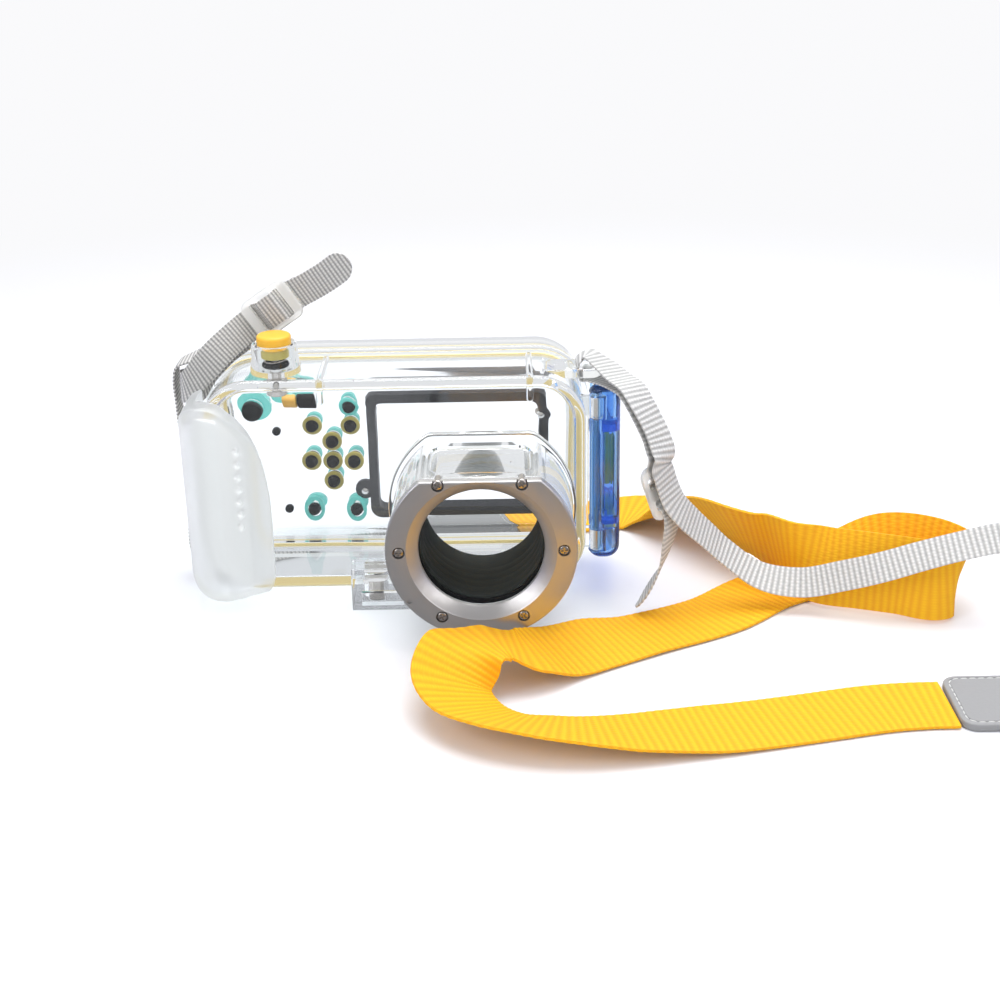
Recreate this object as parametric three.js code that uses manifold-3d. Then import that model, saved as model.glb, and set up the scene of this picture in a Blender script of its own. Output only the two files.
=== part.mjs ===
// Underwater housing for a compact camera: a clear two-part case with a lens port,
// sprung push controls, a side latch, and a neck strap on two lugs.
// Millimetres. X runs to the right seen from the port side, Y runs away from that side, Z is up.
// Z = 0 is the surface that the base block stands on; X = 0 and Y = 0 are near the middle of the
// case and on its front face, before the last step centres the object on its footprint.

import * as THREE from 'three';
import { mergeVertices } from 'three/addons/utils/BufferGeometryUtils.js';
import Module from 'manifold-3d';

const wasm = await Module();
wasm.setup();

// Clearances and small shared sizes
const gap = 0.3;
const overrun = 1;
const weld = 0.0001;
const cornerMargin = 0.1;

// Case: two clear halves that meet at the parting plane
const caseLeft = -65;
const caseRight = 60.5;
const caseBottom = 5;
const caseTop = 78.5;
const caseFront = 0;
const caseRear = 48;
const partingY = 28;
const wall = 3.2;
const cornerRadius = 16;
const frontEdgeRadius = 2.4;
const rearEdgeRadius = 3.2;
const flangeProud = 1.8;
const flangeThick = 3.2;
const rimDeep = 4.2;
const rimInset = 5.4;
const ribRadius = 1.1;
const ribProud = 0.9;

// Gasket in the groove of the rear half
const gasketOuterInset = 0.4;
const gasketWidth = 3.7;
const gasketThick = 2.5;

// Lens port on the front half
const portX = 26.2;
const portZ = 34.6;
const barrelRadius = 29.4;
const barrelFlatHeight = 23.2;
const barrelLength = 33.6;
const barrelWall = 2.8;
const barrelFlangeProud = 1.6;
const barrelFlangeRadius = barrelRadius + barrelFlangeProud;
const barrelFlangeFlatProud = 2.8;
const barrelFlangeFlat = barrelFlatHeight + barrelFlangeFlatProud;
const barrelFlangeThick = 3;
const boreInset = 8;
const boreRadius = barrelRadius - boreInset;
const boreWall = 2.4;
const portPlateThick = 4.4;
const domeRecessWidth = 32;
const domeRecessDeep = 1.2;
const ringProud = 0.6;
const ringRadius = barrelRadius + ringProud;
const ringFlatProud = 0.2;
const ringFlatHeight = barrelFlatHeight + ringFlatProud;
const ringThick = 3.7;
const ringEdge = 0.7;
const ringMouthInset = 1;
const ringMouthRadius = boreRadius - ringMouthInset;
const ringThroatInset = 3;
const ringThroatRadius = boreRadius - ringThroatInset;
const glassRadius = boreRadius - gap;
const glassThick = 2.4;
const sealSection = 1.3;
const linerWall = 1.9;
const linerInnerRadius = boreRadius - gap - linerWall;
const linerLength = 23;
const linerGroovePitch = 4.6;
const linerGrooveDeep = 0.5;
const linerLandShare = 0.95;
const ringScrewInset = 3.7;
const ringScrewCircle = barrelRadius - ringScrewInset;
const ringScrewFlatInset = 1.1;
const ringScrewCount = 6;
const ringScrewHead = 2.05;
const ringScrewHeadTall = 1.3;
const ringScrewShank = 1.1;
const ringScrewLength = 6.5;
const crossWidth = 0.55;
const crossDeep = 0.6;
const crossReachShare = 0.7;
const indexNotch = 1.6;
const indexTurnShare = 0.6;

// Frosted grip over the left end of the front
const gripLeft = -72;
const gripRight = -43.5;
const gripFront = -9.5;
const gripRear = 20;
const gripDrop = 4.5;
const gripTop = caseTop - gripDrop;
const gripCorner = 13;
const gripPipCount = 7;
const gripPipRadius = 1.1;
const gripPipFront = -7.4;
const gripPipX = -53;
const gripPipLow = 31;
const gripPipHigh = 57;

// Base block with the tripod socket
const baseLeft = -18;
const baseRight = 32;
const baseFront = -6.8;
const baseRear = 24;
const baseUpstand = 15.5;
const baseFrontLean = 2.6;
const basePocketWidth = 14;
const basePocketTall = 4.6;
const basePocketDeep = 3;
const insertX = -10.5;
const insertY = 6;
const insertRadius = 4;
const insertBore = 2.7;
const insertTall = 7.4;
const insertFoot = 0.4;

// Shutter button on top
const shutterX = -40.5;
const shutterY = 12;
const bossRadius = 7.6;
const bossFootRadius = 8.3;
const bossTall = 9.6;
const bossBore = 6.1;
const bossFloor = 1.2;
const bossEdge = 0.9;
const capRadius = 5.6;
const capTall = 4.6;
const capProud = 3;
const stemRadius = 1.6;
const stemBore = 1.95;
const stemBelow = 4.4;
const pusherRadius = 3.4;
const pusherTall = 2.2;
const shutterTravel = 2;
const springWire = 0.45;
const springRadius = 3.5;
const springTurns = 2.5;
const springSteps = 8;
const springSides = 5;
const shutterSealRadius = 4.6;
const shutterSealThick = 1.2;
const shutterSealEdge = 0.35;

// Hinge at the left
const hingeX = -69;
const hingeY = 30;
const hingeRadius = 2.8;
const hingePinRadius = 1.2;
const hingeBore = 1.5;
const hingeRise = 9;
const hingeLow = caseBottom + hingeRise;
const hingeDrop = 18.5;
const hingeHigh = caseTop - hingeDrop;
const hingeEndTall = 10;
const hingeMidLow = hingeLow + hingeEndTall;
const hingeMidHigh = hingeHigh - hingeEndTall;

// Latch lever at the right, hinged at its front and hooked at its rear
const latchX = 64.4;
const latchY = 5.6;
const latchLeft = 61.1;
const latchRight = 72;
const latchFront = 2;
const latchRear = 35.6;
const latchRise = 7.6;
const latchLow = caseBottom + latchRise;
const latchDrop = 5.1;
const latchHigh = caseTop - latchDrop;
const latchWall = 2.2;
const latchEndRadius = 5;
const latchHook = 2.2;
const latchPinRadius = 1.25;
const latchBore = 1.55;
const latchKnuckleRadius = 2.6;
const knuckleTall = 7;
const knuckleInset = 3.5;
const latchGripRise = 18.4;
const latchGripLow = latchLow + latchGripRise;
const latchGripDrop = 15.4;
const latchGripHigh = latchHigh - latchGripDrop;
const latchGripDeep = 1.1;
const latchRibCount = 4;
const latchRibWidth = 1;
const catchProud = 2.2;
const catchInset = 11.4;
const catchLow = latchLow + catchInset;
const catchHigh = latchHigh - catchInset;
const catchThick = 3;
const lockTall = 20;
const lockWide = 7;
const lockThick = 2;
const lockSlotTall = 26;
const lockTravel = 4;
const lockKnobProud = 1.2;

// Strap lugs
const lugThick = 3;
const leftLugLeft = -72;
const leftLugRight = -62.5;
const leftLugY = 18.3;
const leftLugDrop = 0.5;
const leftLugTall = 13;
const leftLugHigh = caseTop - leftLugDrop;
const leftLugLow = leftLugHigh - leftLugTall;
const leftSlotLeft = -69.7;
const leftSlotWide = 2.8;
const rightLugRight = 65.5;
const rightLugLeft = 46;
const rightLugDrop = 3.1;
const rightLugLow = caseTop - rightLugDrop;
const rightLugFront = 7;
const rightLugRear = 20;
const rightSlotLeft = 56.4;
const rightSlotWide = 3.4;
const lugSlotLong = 10.8;

// Screen hood on the rear
const hoodLeft = -15.3;
const hoodRight = 49.7;
const hoodLow = 11;
const hoodHigh = 59;
const hoodBar = 3.2;
const hoodDeep = 6.5;
const hoodCorner = 4;
const hoodLean = 1.6;
const hoodEarRadius = 3.6;
const hoodEarThick = 1.8;
const hoodEarOut = 1.7;
const hoodEarRise = 11.2;
const hoodEarIn = 2.9;
const hoodEarDrop = 8.6;
const hoodEars = [
  [hoodLeft - hoodEarOut, hoodLow + hoodEarRise],
  [hoodRight - hoodEarIn, hoodHigh - hoodEarDrop],
];
const hoodScrewRadius = 1.7;
const hoodScrewShank = 0.9;
const hoodScrewLength = 3.4;

// Push buttons through the rear wall
const buttonTravel = 2;
const buttonShaft = 1.5;
const buttonBore = 1.8;
const buttonTipTall = 3.6;
const buttonTipRadius = 2.3;
const buttonCapTall = 3;
const buttonCollarTall = 1.4;
const buttonCollarWall = 1;
const padX = -27.8;
const padZ = 34.6;
const padPitch = 7.6;
const outerButtonInset = 0.8;
const flashRowShare = 1.8;
const recordRowShare = 2.78;
const menuRowShare = 2.45;
const roundCap = 2.9;
const ovalCapX = 3.7;
const ovalCapZ = 2.9;
const capCrownShare = 0.8;
const tipPointShare = 0.6;
const tipConeShare = 0.4;
const flashRow = padZ + flashRowShare * padPitch;
const recordRow = padZ + recordRowShare * padPitch;
const menuRow = padZ - menuRowShare * padPitch;
const buttons = [
  { name: 'up', x: padX, z: padZ + padPitch },
  { name: 'down', x: padX, z: padZ - padPitch },
  { name: 'left', x: padX - padPitch, z: padZ },
  { name: 'right', x: padX + padPitch, z: padZ },
  { name: 'set', x: padX, z: padZ },
  { name: 'flash', x: padX - padPitch + outerButtonInset, z: flashRow },
  { name: 'timer', x: padX + padPitch - outerButtonInset, z: flashRow },
  { name: 'record', x: padX + padPitch - outerButtonInset, z: recordRow },
  { name: 'menu', x: padX - padPitch, z: menuRow, oval: true },
  { name: 'display', x: padX + padPitch, z: menuRow, oval: true },
];

// Mode knob and zoom lever, both turning in the rear wall
const knobX = -55;
const knobZ = 54.5;
const knobRadius = 6;
const knobTall = 6;
const knobFlutes = 12;
const knobFluteRadius = 0.9;
const wheelRadius = 3.6;
const wheelTall = 4.4;
const zoomX = -41;
const zoomZ = 58.6;
const zoomLong = 15;
const zoomWide = 6;
const zoomTall = 4.4;
const zoomArmLong = 11;
const zoomArmWide = 4.2;
const controlShaft = 1.9;
const controlBore = 2.2;

// Straps: widths, thicknesses, the sliders and the stitched end patches
const wideStrap = 26;
const wideThick = 1.4;
const thinStrap = 10;
const thinThick = 1;
const strapChamferShare = 0.3;
const sliderLong = 18;
const sliderWide = 14.4;
const sliderThick = 1.6;
const sliderBar = 2;
const sliderSlot = 3.6;
const sliderInner = 10.8;
const patchLong = 44;
const patchWide = 29;
const patchThick = 2.4;
const patchLift = 0.1;

// Facets
const arcSteps = 2;
const caseArcSteps = 4;
const portArcSteps = 14;
const roundSides = 40;
const smallSides = 16;
const plungerSides = 12;
const edgeSteps = 2;

const round = Math.PI * 2;
const quarter = Math.PI / 2;

// Solids and geometry

function toSolid(geometry) {
  geometry.deleteAttribute('normal');
  geometry.deleteAttribute('uv');
  const merged = mergeVertices(geometry, weld);
  const vertProperties = new Float32Array(merged.attributes.position.array);
  const triVerts = new Uint32Array(merged.index.array);
  const solid = new wasm.Manifold(new wasm.Mesh({ numProp: 3, vertProperties, triVerts }));
  if (solid.volume() > 0) return solid;
  for (let i = 0; i < triVerts.length; i += 3) {
    const first = triVerts[i];
    triVerts[i] = triVerts[i + 1];
    triVerts[i + 1] = first;
  }
  return new wasm.Manifold(new wasm.Mesh({ numProp: 3, vertProperties, triVerts }));
}

function toGeometry(solid) {
  const mesh = solid.getMesh();
  const geometry = new THREE.BufferGeometry();
  geometry.setAttribute('position', new THREE.BufferAttribute(new Float32Array(mesh.vertProperties), 3));
  geometry.setIndex(new THREE.BufferAttribute(new Uint32Array(mesh.triVerts), 1));
  geometry.computeVertexNormals();
  return geometry;
}

function joined(first, ...others) {
  return others.reduce((sum, solid) => sum.add(solid), first);
}

function cutBy(first, ...tools) {
  return tools.reduce((rest, tool) => rest.subtract(tool), first);
}

function block(x0, x1, y0, y1, z0, z1) {
  const geometry = new THREE.BoxGeometry(x1 - x0, y1 - y0, z1 - z0);
  geometry.translate((x0 + x1) / 2, (y0 + y1) / 2, (z0 + z1) / 2);
  return toSolid(geometry);
}

// A cylinder or cone along one axis: 'x', 'y' or 'z'; centre gives the other two places.
function rod(axis, radius, from, to, centre, sides = smallSides, endRadius = radius) {
  const geometry = new THREE.CylinderGeometry(endRadius, radius, to - from, sides);
  geometry.translate(0, (from + to) / 2, 0);
  if (axis === 'x') geometry.rotateZ(-quarter);
  if (axis === 'z') geometry.rotateX(quarter);
  const place = { x: [0, centre[0], centre[1]], y: [centre[0], 0, centre[1]], z: [centre[0], centre[1], 0] };
  geometry.translate(...place[axis]);
  return toSolid(geometry);
}

// A turned piece: profile points are [radius, distance along the axis].
function turned(axis, profile, centre, sides = roundSides) {
  const points = profile.map(([r, a]) => new THREE.Vector2(r, a));
  const geometry = new THREE.LatheGeometry(points, sides);
  if (axis === 'z') geometry.rotateX(quarter);
  const place = { y: [centre[0], 0, centre[1]], z: [centre[0], centre[1], 0] };
  geometry.translate(...place[axis]);
  return toSolid(geometry);
}

// An outline drawn in X and Z, pushed out along Y, with an optional rounded edge at both ends.
function slabY(shape, y0, y1, edge = 0, curveSegments = arcSteps) {
  const geometry = new THREE.ExtrudeGeometry(shape, {
    depth: y1 - y0 - 2 * edge,
    bevelEnabled: edge > 0,
    bevelSize: edge,
    bevelThickness: edge,
    bevelOffset: -edge,
    bevelSegments: edgeSteps,
    curveSegments,
  });
  geometry.rotateX(quarter);
  geometry.translate(0, y1 - edge, 0);
  return toSolid(geometry);
}

// An outline drawn in X and Y, pushed up along Z.
function slabZ(shape, z0, z1, edge = 0, curveSegments = arcSteps) {
  const geometry = new THREE.ExtrudeGeometry(shape, {
    depth: z1 - z0 - 2 * edge,
    bevelEnabled: edge > 0,
    bevelSize: edge,
    bevelThickness: edge,
    bevelOffset: -edge,
    bevelSegments: edgeSteps,
    curveSegments,
  });
  geometry.translate(0, 0, z0 + edge);
  return toSolid(geometry);
}

// An outline drawn in Y and Z, pushed out along X.
function slabX(shape, x0, x1) {
  const geometry = new THREE.ExtrudeGeometry(shape, {
    depth: x1 - x0,
    bevelEnabled: false,
    curveSegments: arcSteps,
  });
  const turn = new THREE.Matrix4().makeBasis(
    new THREE.Vector3(0, 1, 0),
    new THREE.Vector3(0, 0, 1),
    new THREE.Vector3(1, 0, 0),
  );
  geometry.applyMatrix4(turn);
  geometry.translate(x0, 0, 0);
  return toSolid(geometry);
}

function roundedRect(left, right, low, high, radius) {
  const r = Math.min(radius, (right - left) / 2 - cornerMargin, (high - low) / 2 - cornerMargin);
  const shape = new THREE.Shape();
  shape.moveTo(left + r, low);
  shape.lineTo(right - r, low);
  shape.absarc(right - r, low + r, r, -quarter, 0);
  shape.lineTo(right, high - r);
  shape.absarc(right - r, high - r, r, 0, quarter);
  shape.lineTo(left + r, high);
  shape.absarc(left + r, high - r, r, quarter, 2 * quarter);
  shape.lineTo(left, low + r);
  shape.absarc(left + r, low + r, r, 2 * quarter, 3 * quarter);
  return shape;
}

// The case's outline, grown (or, below zero, shrunk) by one distance all round.
function caseSlab(grow, y0, y1, edge = 0) {
  const outline = roundedRect(
    caseLeft - grow,
    caseRight + grow,
    caseBottom - grow,
    caseTop + grow,
    cornerRadius + grow,
  );
  return slabY(outline, y0, y1, edge, caseArcSteps);
}

// A circle with a flat across its top.
function flatTopCircle(radius, flatHeight) {
  const start = Math.asin(flatHeight / radius);
  const shape = new THREE.Shape();
  shape.absarc(portX, portZ, radius, Math.PI - start, round + start);
  shape.closePath();
  return shape;
}

function portSlab(radius, flatHeight, y0, y1, edge = 0) {
  return slabY(flatTopCircle(radius, flatHeight), y0, y1, edge, portArcSteps);
}

function outlineOf(points) {
  const shape = new THREE.Shape();
  points.forEach(([x, y], i) => (i ? shape.lineTo(x, y) : shape.moveTo(x, y)));
  shape.closePath();
  return shape;
}

// Parts and materials

const housing = new THREE.Group();

const finishes = {
  clear: { color: 0xeef4f5, roughness: 0.05, metalness: 0, transparent: true, opacity: 0.35 },
  frosted: { color: 0xf2f3f2, roughness: 0.6, metalness: 0, transparent: true, opacity: 0.75 },
  silver: { color: 0xa9a3a0, roughness: 0.38, metalness: 0.8 },
  steel: { color: 0xb9b4ae, roughness: 0.3, metalness: 1 },
  black: { color: 0x17181b, roughness: 0.5, metalness: 0 },
  rubber: { color: 0x1b1b1f, roughness: 0.8, metalness: 0 },
  liner: { color: 0x3a3d3d, roughness: 0.7, metalness: 0 },
  gasket: { color: 0xf2c14a, roughness: 0.5, metalness: 0 },
  yellow: { color: 0xf7b32d, roughness: 0.45, metalness: 0 },
  blue: { color: 0x1c56c8, roughness: 0.15, metalness: 0, transparent: true, opacity: 0.8 },
  lime: { color: 0xb9c25a, roughness: 0.4, metalness: 0 },
  teal: { color: 0x54bdb4, roughness: 0.3, metalness: 0 },
  webbing: { color: 0xf5a80f, roughness: 0.8, metalness: 0 },
  greyWebbing: { color: 0xb9b7b5, roughness: 0.85, metalness: 0 },
  leather: { color: 0x9a9b9b, roughness: 0.6, metalness: 0 },
  slider: { color: 0xe9ece9, roughness: 0.3, metalness: 0, transparent: true, opacity: 0.6 },
};

function addPart(name, solidOrGeometry, finish) {
  const geometry = solidOrGeometry.isBufferGeometry ? solidOrGeometry : toGeometry(solidOrGeometry);
  const mesh = new THREE.Mesh(geometry, new THREE.MeshStandardMaterial(finishes[finish]));
  mesh.name = name;
  housing.add(mesh);
}

// Front half of the case: shell, lens barrel, base block, shutter boss, lugs and latch ears

const innerFront = caseFront + wall;
const frontEnd = partingY - gap / 2;
const rearStart = partingY + gap / 2;
const barrelFront = caseFront - barrelLength;

function barrelSolid() {
  const outer = portSlab(barrelRadius, barrelFlatHeight, barrelFront, innerFront - weld);
  const flange = portSlab(
    barrelFlangeRadius,
    barrelFlangeFlat,
    caseFront - barrelFlangeThick,
    innerFront - weld,
    barrelFlangeThick / edgeSteps / 2,
  );
  const recess = slabY(
    roundedRect(
      portX - domeRecessWidth / 2,
      portX + domeRecessWidth / 2,
      portZ + barrelFlatHeight - domeRecessDeep,
      portZ + barrelFlatHeight + overrun,
      domeRecessDeep,
    ),
    barrelFront + portPlateThick,
    caseFront - 2 * barrelFlangeThick,
  );
  return cutBy(joined(outer, flange), recess);
}

// What is hollow behind the barrel's front plate: the D-shaped space less the bore's own tube.
function barrelHollow() {
  const space = portSlab(
    barrelRadius - barrelWall,
    barrelFlatHeight - barrelWall - domeRecessDeep,
    barrelFront + portPlateThick,
    innerFront + overrun,
  );
  const tubeEnd = caseFront - barrelFlangeThick;
  const tube = rod('y', boreRadius + boreWall, barrelFront, tubeEnd, [portX, portZ], roundSides);
  return space.subtract(tube);
}

function baseSolid() {
  const profile = outlineOf([
    [baseFront, 0],
    [baseRear, 0],
    [baseRear, caseBottom + wall / 2],
    [caseFront + wall / 2, caseBottom + wall / 2],
    [caseFront + wall / 2, baseUpstand],
    [baseFront + baseFrontLean, baseUpstand],
    [baseFront, baseUpstand - baseFrontLean],
  ]);
  const solid = slabX(profile, baseLeft, baseRight);
  const pocketHigh = basePocketTall + wall / 2;
  const pocketLeft = baseLeft + wall;
  const pocket = block(
    pocketLeft,
    pocketLeft + basePocketWidth,
    baseFront - overrun,
    baseFront + basePocketDeep,
    wall / 2,
    pocketHigh,
  );
  const well = rod('z', insertRadius + gap, -overrun, insertTall + gap, [insertX, insertY], smallSides);
  return { solid: cutBy(solid, pocket), well };
}

function bossSolid() {
  const top = caseTop + bossTall;
  return turned(
    'z',
    [
      [0, caseTop - wall],
      [bossFootRadius, caseTop - wall],
      [bossFootRadius, caseTop + bossTall / 4],
      [bossRadius, caseTop + bossTall / 2],
      [bossRadius, top - bossEdge],
      [bossRadius - bossEdge, top],
      [0, top],
    ],
    [shutterX, shutterY],
    smallSides * 2,
  );
}

function bossHollow() {
  const place = [shutterX, shutterY];
  const seat = rod('z', bossBore, caseTop + bossFloor, caseTop + bossTall + overrun, place, smallSides * 2);
  const guide = rod('z', stemBore, caseTop - wall - overrun, caseTop + bossFloor + overrun, place);
  return seat.add(guide);
}

function leftLug() {
  const plate = slabY(
    roundedRect(leftLugLeft, leftLugRight, leftLugLow, leftLugHigh, wall),
    leftLugY,
    leftLugY + lugThick,
  );
  const middle = (leftLugLow + leftLugHigh) / 2;
  const slot = block(
    leftSlotLeft,
    leftSlotLeft + leftSlotWide,
    leftLugY - overrun,
    leftLugY + lugThick + overrun,
    middle - lugSlotLong / 2,
    middle + lugSlotLong / 2,
  );
  return plate.subtract(slot);
}

function rightLug() {
  const plate = slabZ(
    roundedRect(rightLugLeft, rightLugRight, rightLugFront, rightLugRear, wall),
    rightLugLow,
    rightLugLow + lugThick,
  );
  const middle = (rightLugFront + rightLugRear) / 2;
  const slot = block(
    rightSlotLeft,
    rightSlotLeft + rightSlotWide,
    middle - lugSlotLong / 2,
    middle + lugSlotLong / 2,
    rightLugLow - overrun,
    rightLugLow + lugThick + overrun,
  );
  return { plate, slot };
}

// One fixed knuckle of the case's hinge, on an arm from the front half's flange.
function hingeKnuckle(low, high) {
  const barrel = rod('z', hingeRadius, low, high, [hingeX, hingeY], smallSides);
  const outside = hingeX - hingeRadius;
  const arm = block(outside, caseLeft - flangeProud, frontEnd - flangeThick, hingeY, low, high);
  const root = block(outside, caseLeft + overrun, frontEnd - flangeThick, frontEnd, low, high);
  const bore = rod('z', hingeBore, low - overrun, high + overrun, [hingeX, hingeY], smallSides);
  return cutBy(joined(barrel, arm, root), bore);
}

// The two ears that carry the latch's pin, at its ends. Each arm is kept behind the pin's middle,
// so that the lever can swing past it.
function latchEar(low, high) {
  const ear = block(caseRight - wall / 2, latchX, latchY, latchY + latchKnuckleRadius, low, high);
  const eye = rod('z', latchKnuckleRadius, low, high, [latchX, latchY], smallSides);
  const bore = rod('z', latchBore, low - overrun, high + overrun, [latchX, latchY], smallSides);
  return ear.add(eye).subtract(bore);
}

function sideRib(x) {
  const left = x - ribRadius;
  const right = x + ribRadius;
  const high = caseTop + ribProud;
  const rib = slabY(
    roundedRect(left, right, caseTop - cornerRadius / 2, high, ribRadius),
    caseFront - ribProud,
    caseFront + wall / 2,
  );
  const top = block(left, right, caseFront - ribProud, frontEnd - flangeThick, caseTop - wall / 2, high);
  return rib.add(top);
}

const earLowEnd = latchLow + knuckleInset;
const earHighStart = latchHigh - knuckleInset - knuckleTall;

function frontShell() {
  const shell = caseSlab(0, caseFront, frontEnd + 2 * frontEdgeRadius, frontEdgeRadius);
  const flange = caseSlab(flangeProud, frontEnd - flangeThick, frontEnd);
  const behind = block(
    caseLeft - 2 * flangeProud,
    caseRight + 2 * flangeProud,
    frontEnd,
    frontEnd + 3 * frontEdgeRadius,
    caseBottom - 2 * flangeProud,
    caseTop + 2 * flangeProud,
  );
  const base = baseSolid();
  const lug = rightLug();
  const doorKnuckle = rod(
    'z',
    hingeRadius + gap,
    hingeMidLow,
    hingeMidHigh,
    [hingeX, hingeY],
    smallSides,
  );
  const body = joined(
    cutBy(shell, behind),
    flange,
    barrelSolid(),
    base.solid,
    bossSolid(),
    leftLug(),
    lug.plate,
    hingeKnuckle(hingeLow, hingeMidLow),
    hingeKnuckle(hingeMidHigh, hingeHigh),
    latchEar(earLowEnd, earLowEnd + knuckleTall),
    latchEar(earHighStart, earHighStart + knuckleTall),
    sideRib(caseRight - cornerRadius - 2 * ribRadius),
    sideRib(shutterX + 2 * bossRadius),
  );
  const cavity = caseSlab(-wall, innerFront, partingY + overrun);
  const bore = rod('y', boreRadius, barrelFront - overrun, innerFront + overrun, [portX, portZ], roundSides);
  const screwHoles = ringScrewPlaces().map(([x, z]) =>
    rod('y', ringScrewShank + gap, barrelFront - overrun, barrelFront + ringScrewLength, [x, z], smallSides),
  );
  return cutBy(
    body,
    cavity,
    barrelHollow(),
    bore,
    base.well,
    bossHollow(),
    lug.slot,
    doorKnuckle,
    ...screwHoles,
  );
}

// The six screws' places: evenly round the circle, with none above the ring's flat.
function ringScrewPlaces() {
  return Array.from({ length: ringScrewCount }, (_, i) => {
    const angle = (i * round) / ringScrewCount;
    const z = Math.min(ringScrewCircle * Math.sin(angle), ringFlatHeight - ringScrewFlatInset);
    const x = Math.sign(Math.cos(angle)) * Math.sqrt(ringScrewCircle ** 2 - z ** 2);
    return [portX + x, portZ + z];
  });
}

addPart('front_shell', frontShell(), 'clear');

// Lens port: ring, glass, seal, liner and screws

const ringRear = barrelFront - gap;
const ringFront = ringRear - ringThick;

function portRing() {
  const disc = portSlab(ringRadius, ringFlatHeight, ringFront, ringRear, ringEdge);
  const mouth = turned(
    'y',
    [
      [0, ringFront - overrun],
      [ringMouthRadius + overrun / 2, ringFront - overrun],
      [ringMouthRadius, ringFront],
      [ringThroatRadius, ringRear - ringEdge],
      [ringThroatRadius, ringRear + overrun],
      [0, ringRear + overrun],
    ],
    [portX, portZ],
  );
  const screwHoles = ringScrewPlaces().map(([x, z]) =>
    joined(
      rod('y', ringScrewShank + gap, ringFront - overrun, ringRear + overrun, [x, z], smallSides),
      rod('y', ringScrewHead + gap, ringFront - overrun, ringFront + ringScrewHeadTall + gap, [x, z], smallSides),
    ),
  );
  const notchAngle = round * indexTurnShare;
  const notchReach = ringRadius - indexNotch;
  const notchPlace = [portX + notchReach * Math.cos(notchAngle), portZ + notchReach * Math.sin(notchAngle)];
  const notch = rod(
    'y',
    indexNotch / 2,
    ringFront - overrun,
    ringFront + indexNotch / 2,
    notchPlace,
    smallSides,
  );
  return cutBy(disc, mouth, notch, ...screwHoles);
}

function ringScrew([x, z]) {
  const headRear = ringFront + ringScrewHeadTall;
  const head = rod('y', ringScrewHead, ringFront, headRear, [x, z], smallSides);
  const shank = rod('y', ringScrewShank, headRear - weld, ringFront + ringScrewLength, [x, z], smallSides / 2);
  const reach = ringScrewHead * crossReachShare;
  const half = crossWidth / 2;
  const crossRear = ringFront + crossDeep;
  const slot = block(x - reach, x + reach, ringFront - overrun, crossRear, z - half, z + half);
  const cross = block(x - half, x + half, ringFront - overrun, crossRear, z - reach, z + reach);
  return cutBy(head.add(shank), slot, cross);
}

const glassFront = barrelFront + gap;
const glassRear = glassFront + glassThick;
const sealRear = glassRear + gap + sealSection;

function ringOf(outer, inner, y0, y1) {
  return turned('y', [[inner, y0], [outer, y0], [outer, y1], [inner, y1], [inner, y0]], [portX, portZ]);
}

function portLiner() {
  const start = sealRear + gap;
  const outer = boreRadius - gap;
  const count = Math.floor(linerLength / linerGroovePitch);
  const profile = [[outer, start], [outer, start + linerLength], [linerInnerRadius, start + linerLength]];
  for (let i = count - 1; i >= 0; i -= 1) {
    const y = start + i * linerGroovePitch;
    profile.push([linerInnerRadius, y + linerGroovePitch * linerLandShare]);
    profile.push([linerInnerRadius + linerGrooveDeep, y + linerGroovePitch / 2]);
  }
  profile.push([linerInnerRadius, start]);
  profile.push([outer, start]);
  return turned('y', profile, [portX, portZ], roundSides);
}

addPart('port_ring', portRing(), 'silver');
addPart('port_glass', rod('y', glassRadius, glassFront, glassRear, [portX, portZ], roundSides), 'clear');
addPart('port_seal', ringOf(glassRadius, glassRadius - sealSection, glassRear + gap, sealRear), 'rubber');
addPart('port_liner', portLiner(), 'liner');
ringScrewPlaces().forEach((place, i) => addPart(`ring_screw_${i + 1}`, ringScrew(place), 'steel'));

// Grip: a frosted moulding round the left end

function grip() {
  const face = new THREE.Shape();
  face.moveTo(gripLeft + gripCorner, caseBottom);
  face.lineTo(gripRight - wall / 2, caseBottom);
  face.lineTo(gripRight, caseBottom + 2 * gripCorner);
  face.quadraticCurveTo(gripRight, gripTop - gripCorner, gripRight - gripCorner, gripTop - gripCorner / 3);
  face.quadraticCurveTo(gripLeft + gripCorner, gripTop, gripLeft + gripCorner / 2, gripTop - gripCorner / 4);
  face.quadraticCurveTo(gripLeft, gripTop - gripCorner / 3, gripLeft, gripTop - gripCorner);
  face.lineTo(gripLeft, caseBottom + gripCorner);
  face.absarc(gripLeft + gripCorner, caseBottom + gripCorner, gripCorner, 2 * quarter, 3 * quarter);
  const plan = new THREE.Shape();
  const rest = caseFront - gap;
  const side = caseLeft - gap;
  plan.moveTo(gripLeft, gripRear);
  plan.lineTo(gripLeft, rest + wall);
  plan.quadraticCurveTo(gripLeft, gripFront, gripLeft + gripCorner, gripFront);
  plan.quadraticCurveTo(gripRight - gripCorner, gripFront, gripRight - gripCorner / 2, gripFront / 2);
  plan.quadraticCurveTo(gripRight - wall, rest - wall / 2, gripRight, rest - wall / 2);
  plan.lineTo(gripRight, rest);
  plan.lineTo(side, rest);
  plan.lineTo(side, gripRear);
  plan.closePath();
  const column = slabZ(plan, caseBottom - overrun, gripTop + overrun);
  const front = slabY(face, gripFront - overrun, gripRear + overrun);
  const pips = Array.from({ length: gripPipCount }, (_, i) => {
    const z = gripPipLow + ((gripPipHigh - gripPipLow) * i) / (gripPipCount - 1);
    return rod('y', gripPipRadius, gripPipFront, gripFront / 2, [gripPipX, z], smallSides / 2);
  });
  const lugRoom = block(
    gripLeft - overrun,
    side + overrun,
    leftLugY - 3 * gap - 5 * thinThick,
    gripRear + overrun,
    leftLugLow - lugThick,
    gripTop + 2 * overrun,
  );
  return cutBy(joined(column.intersect(front), ...pips), lugRoom);
}

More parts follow.
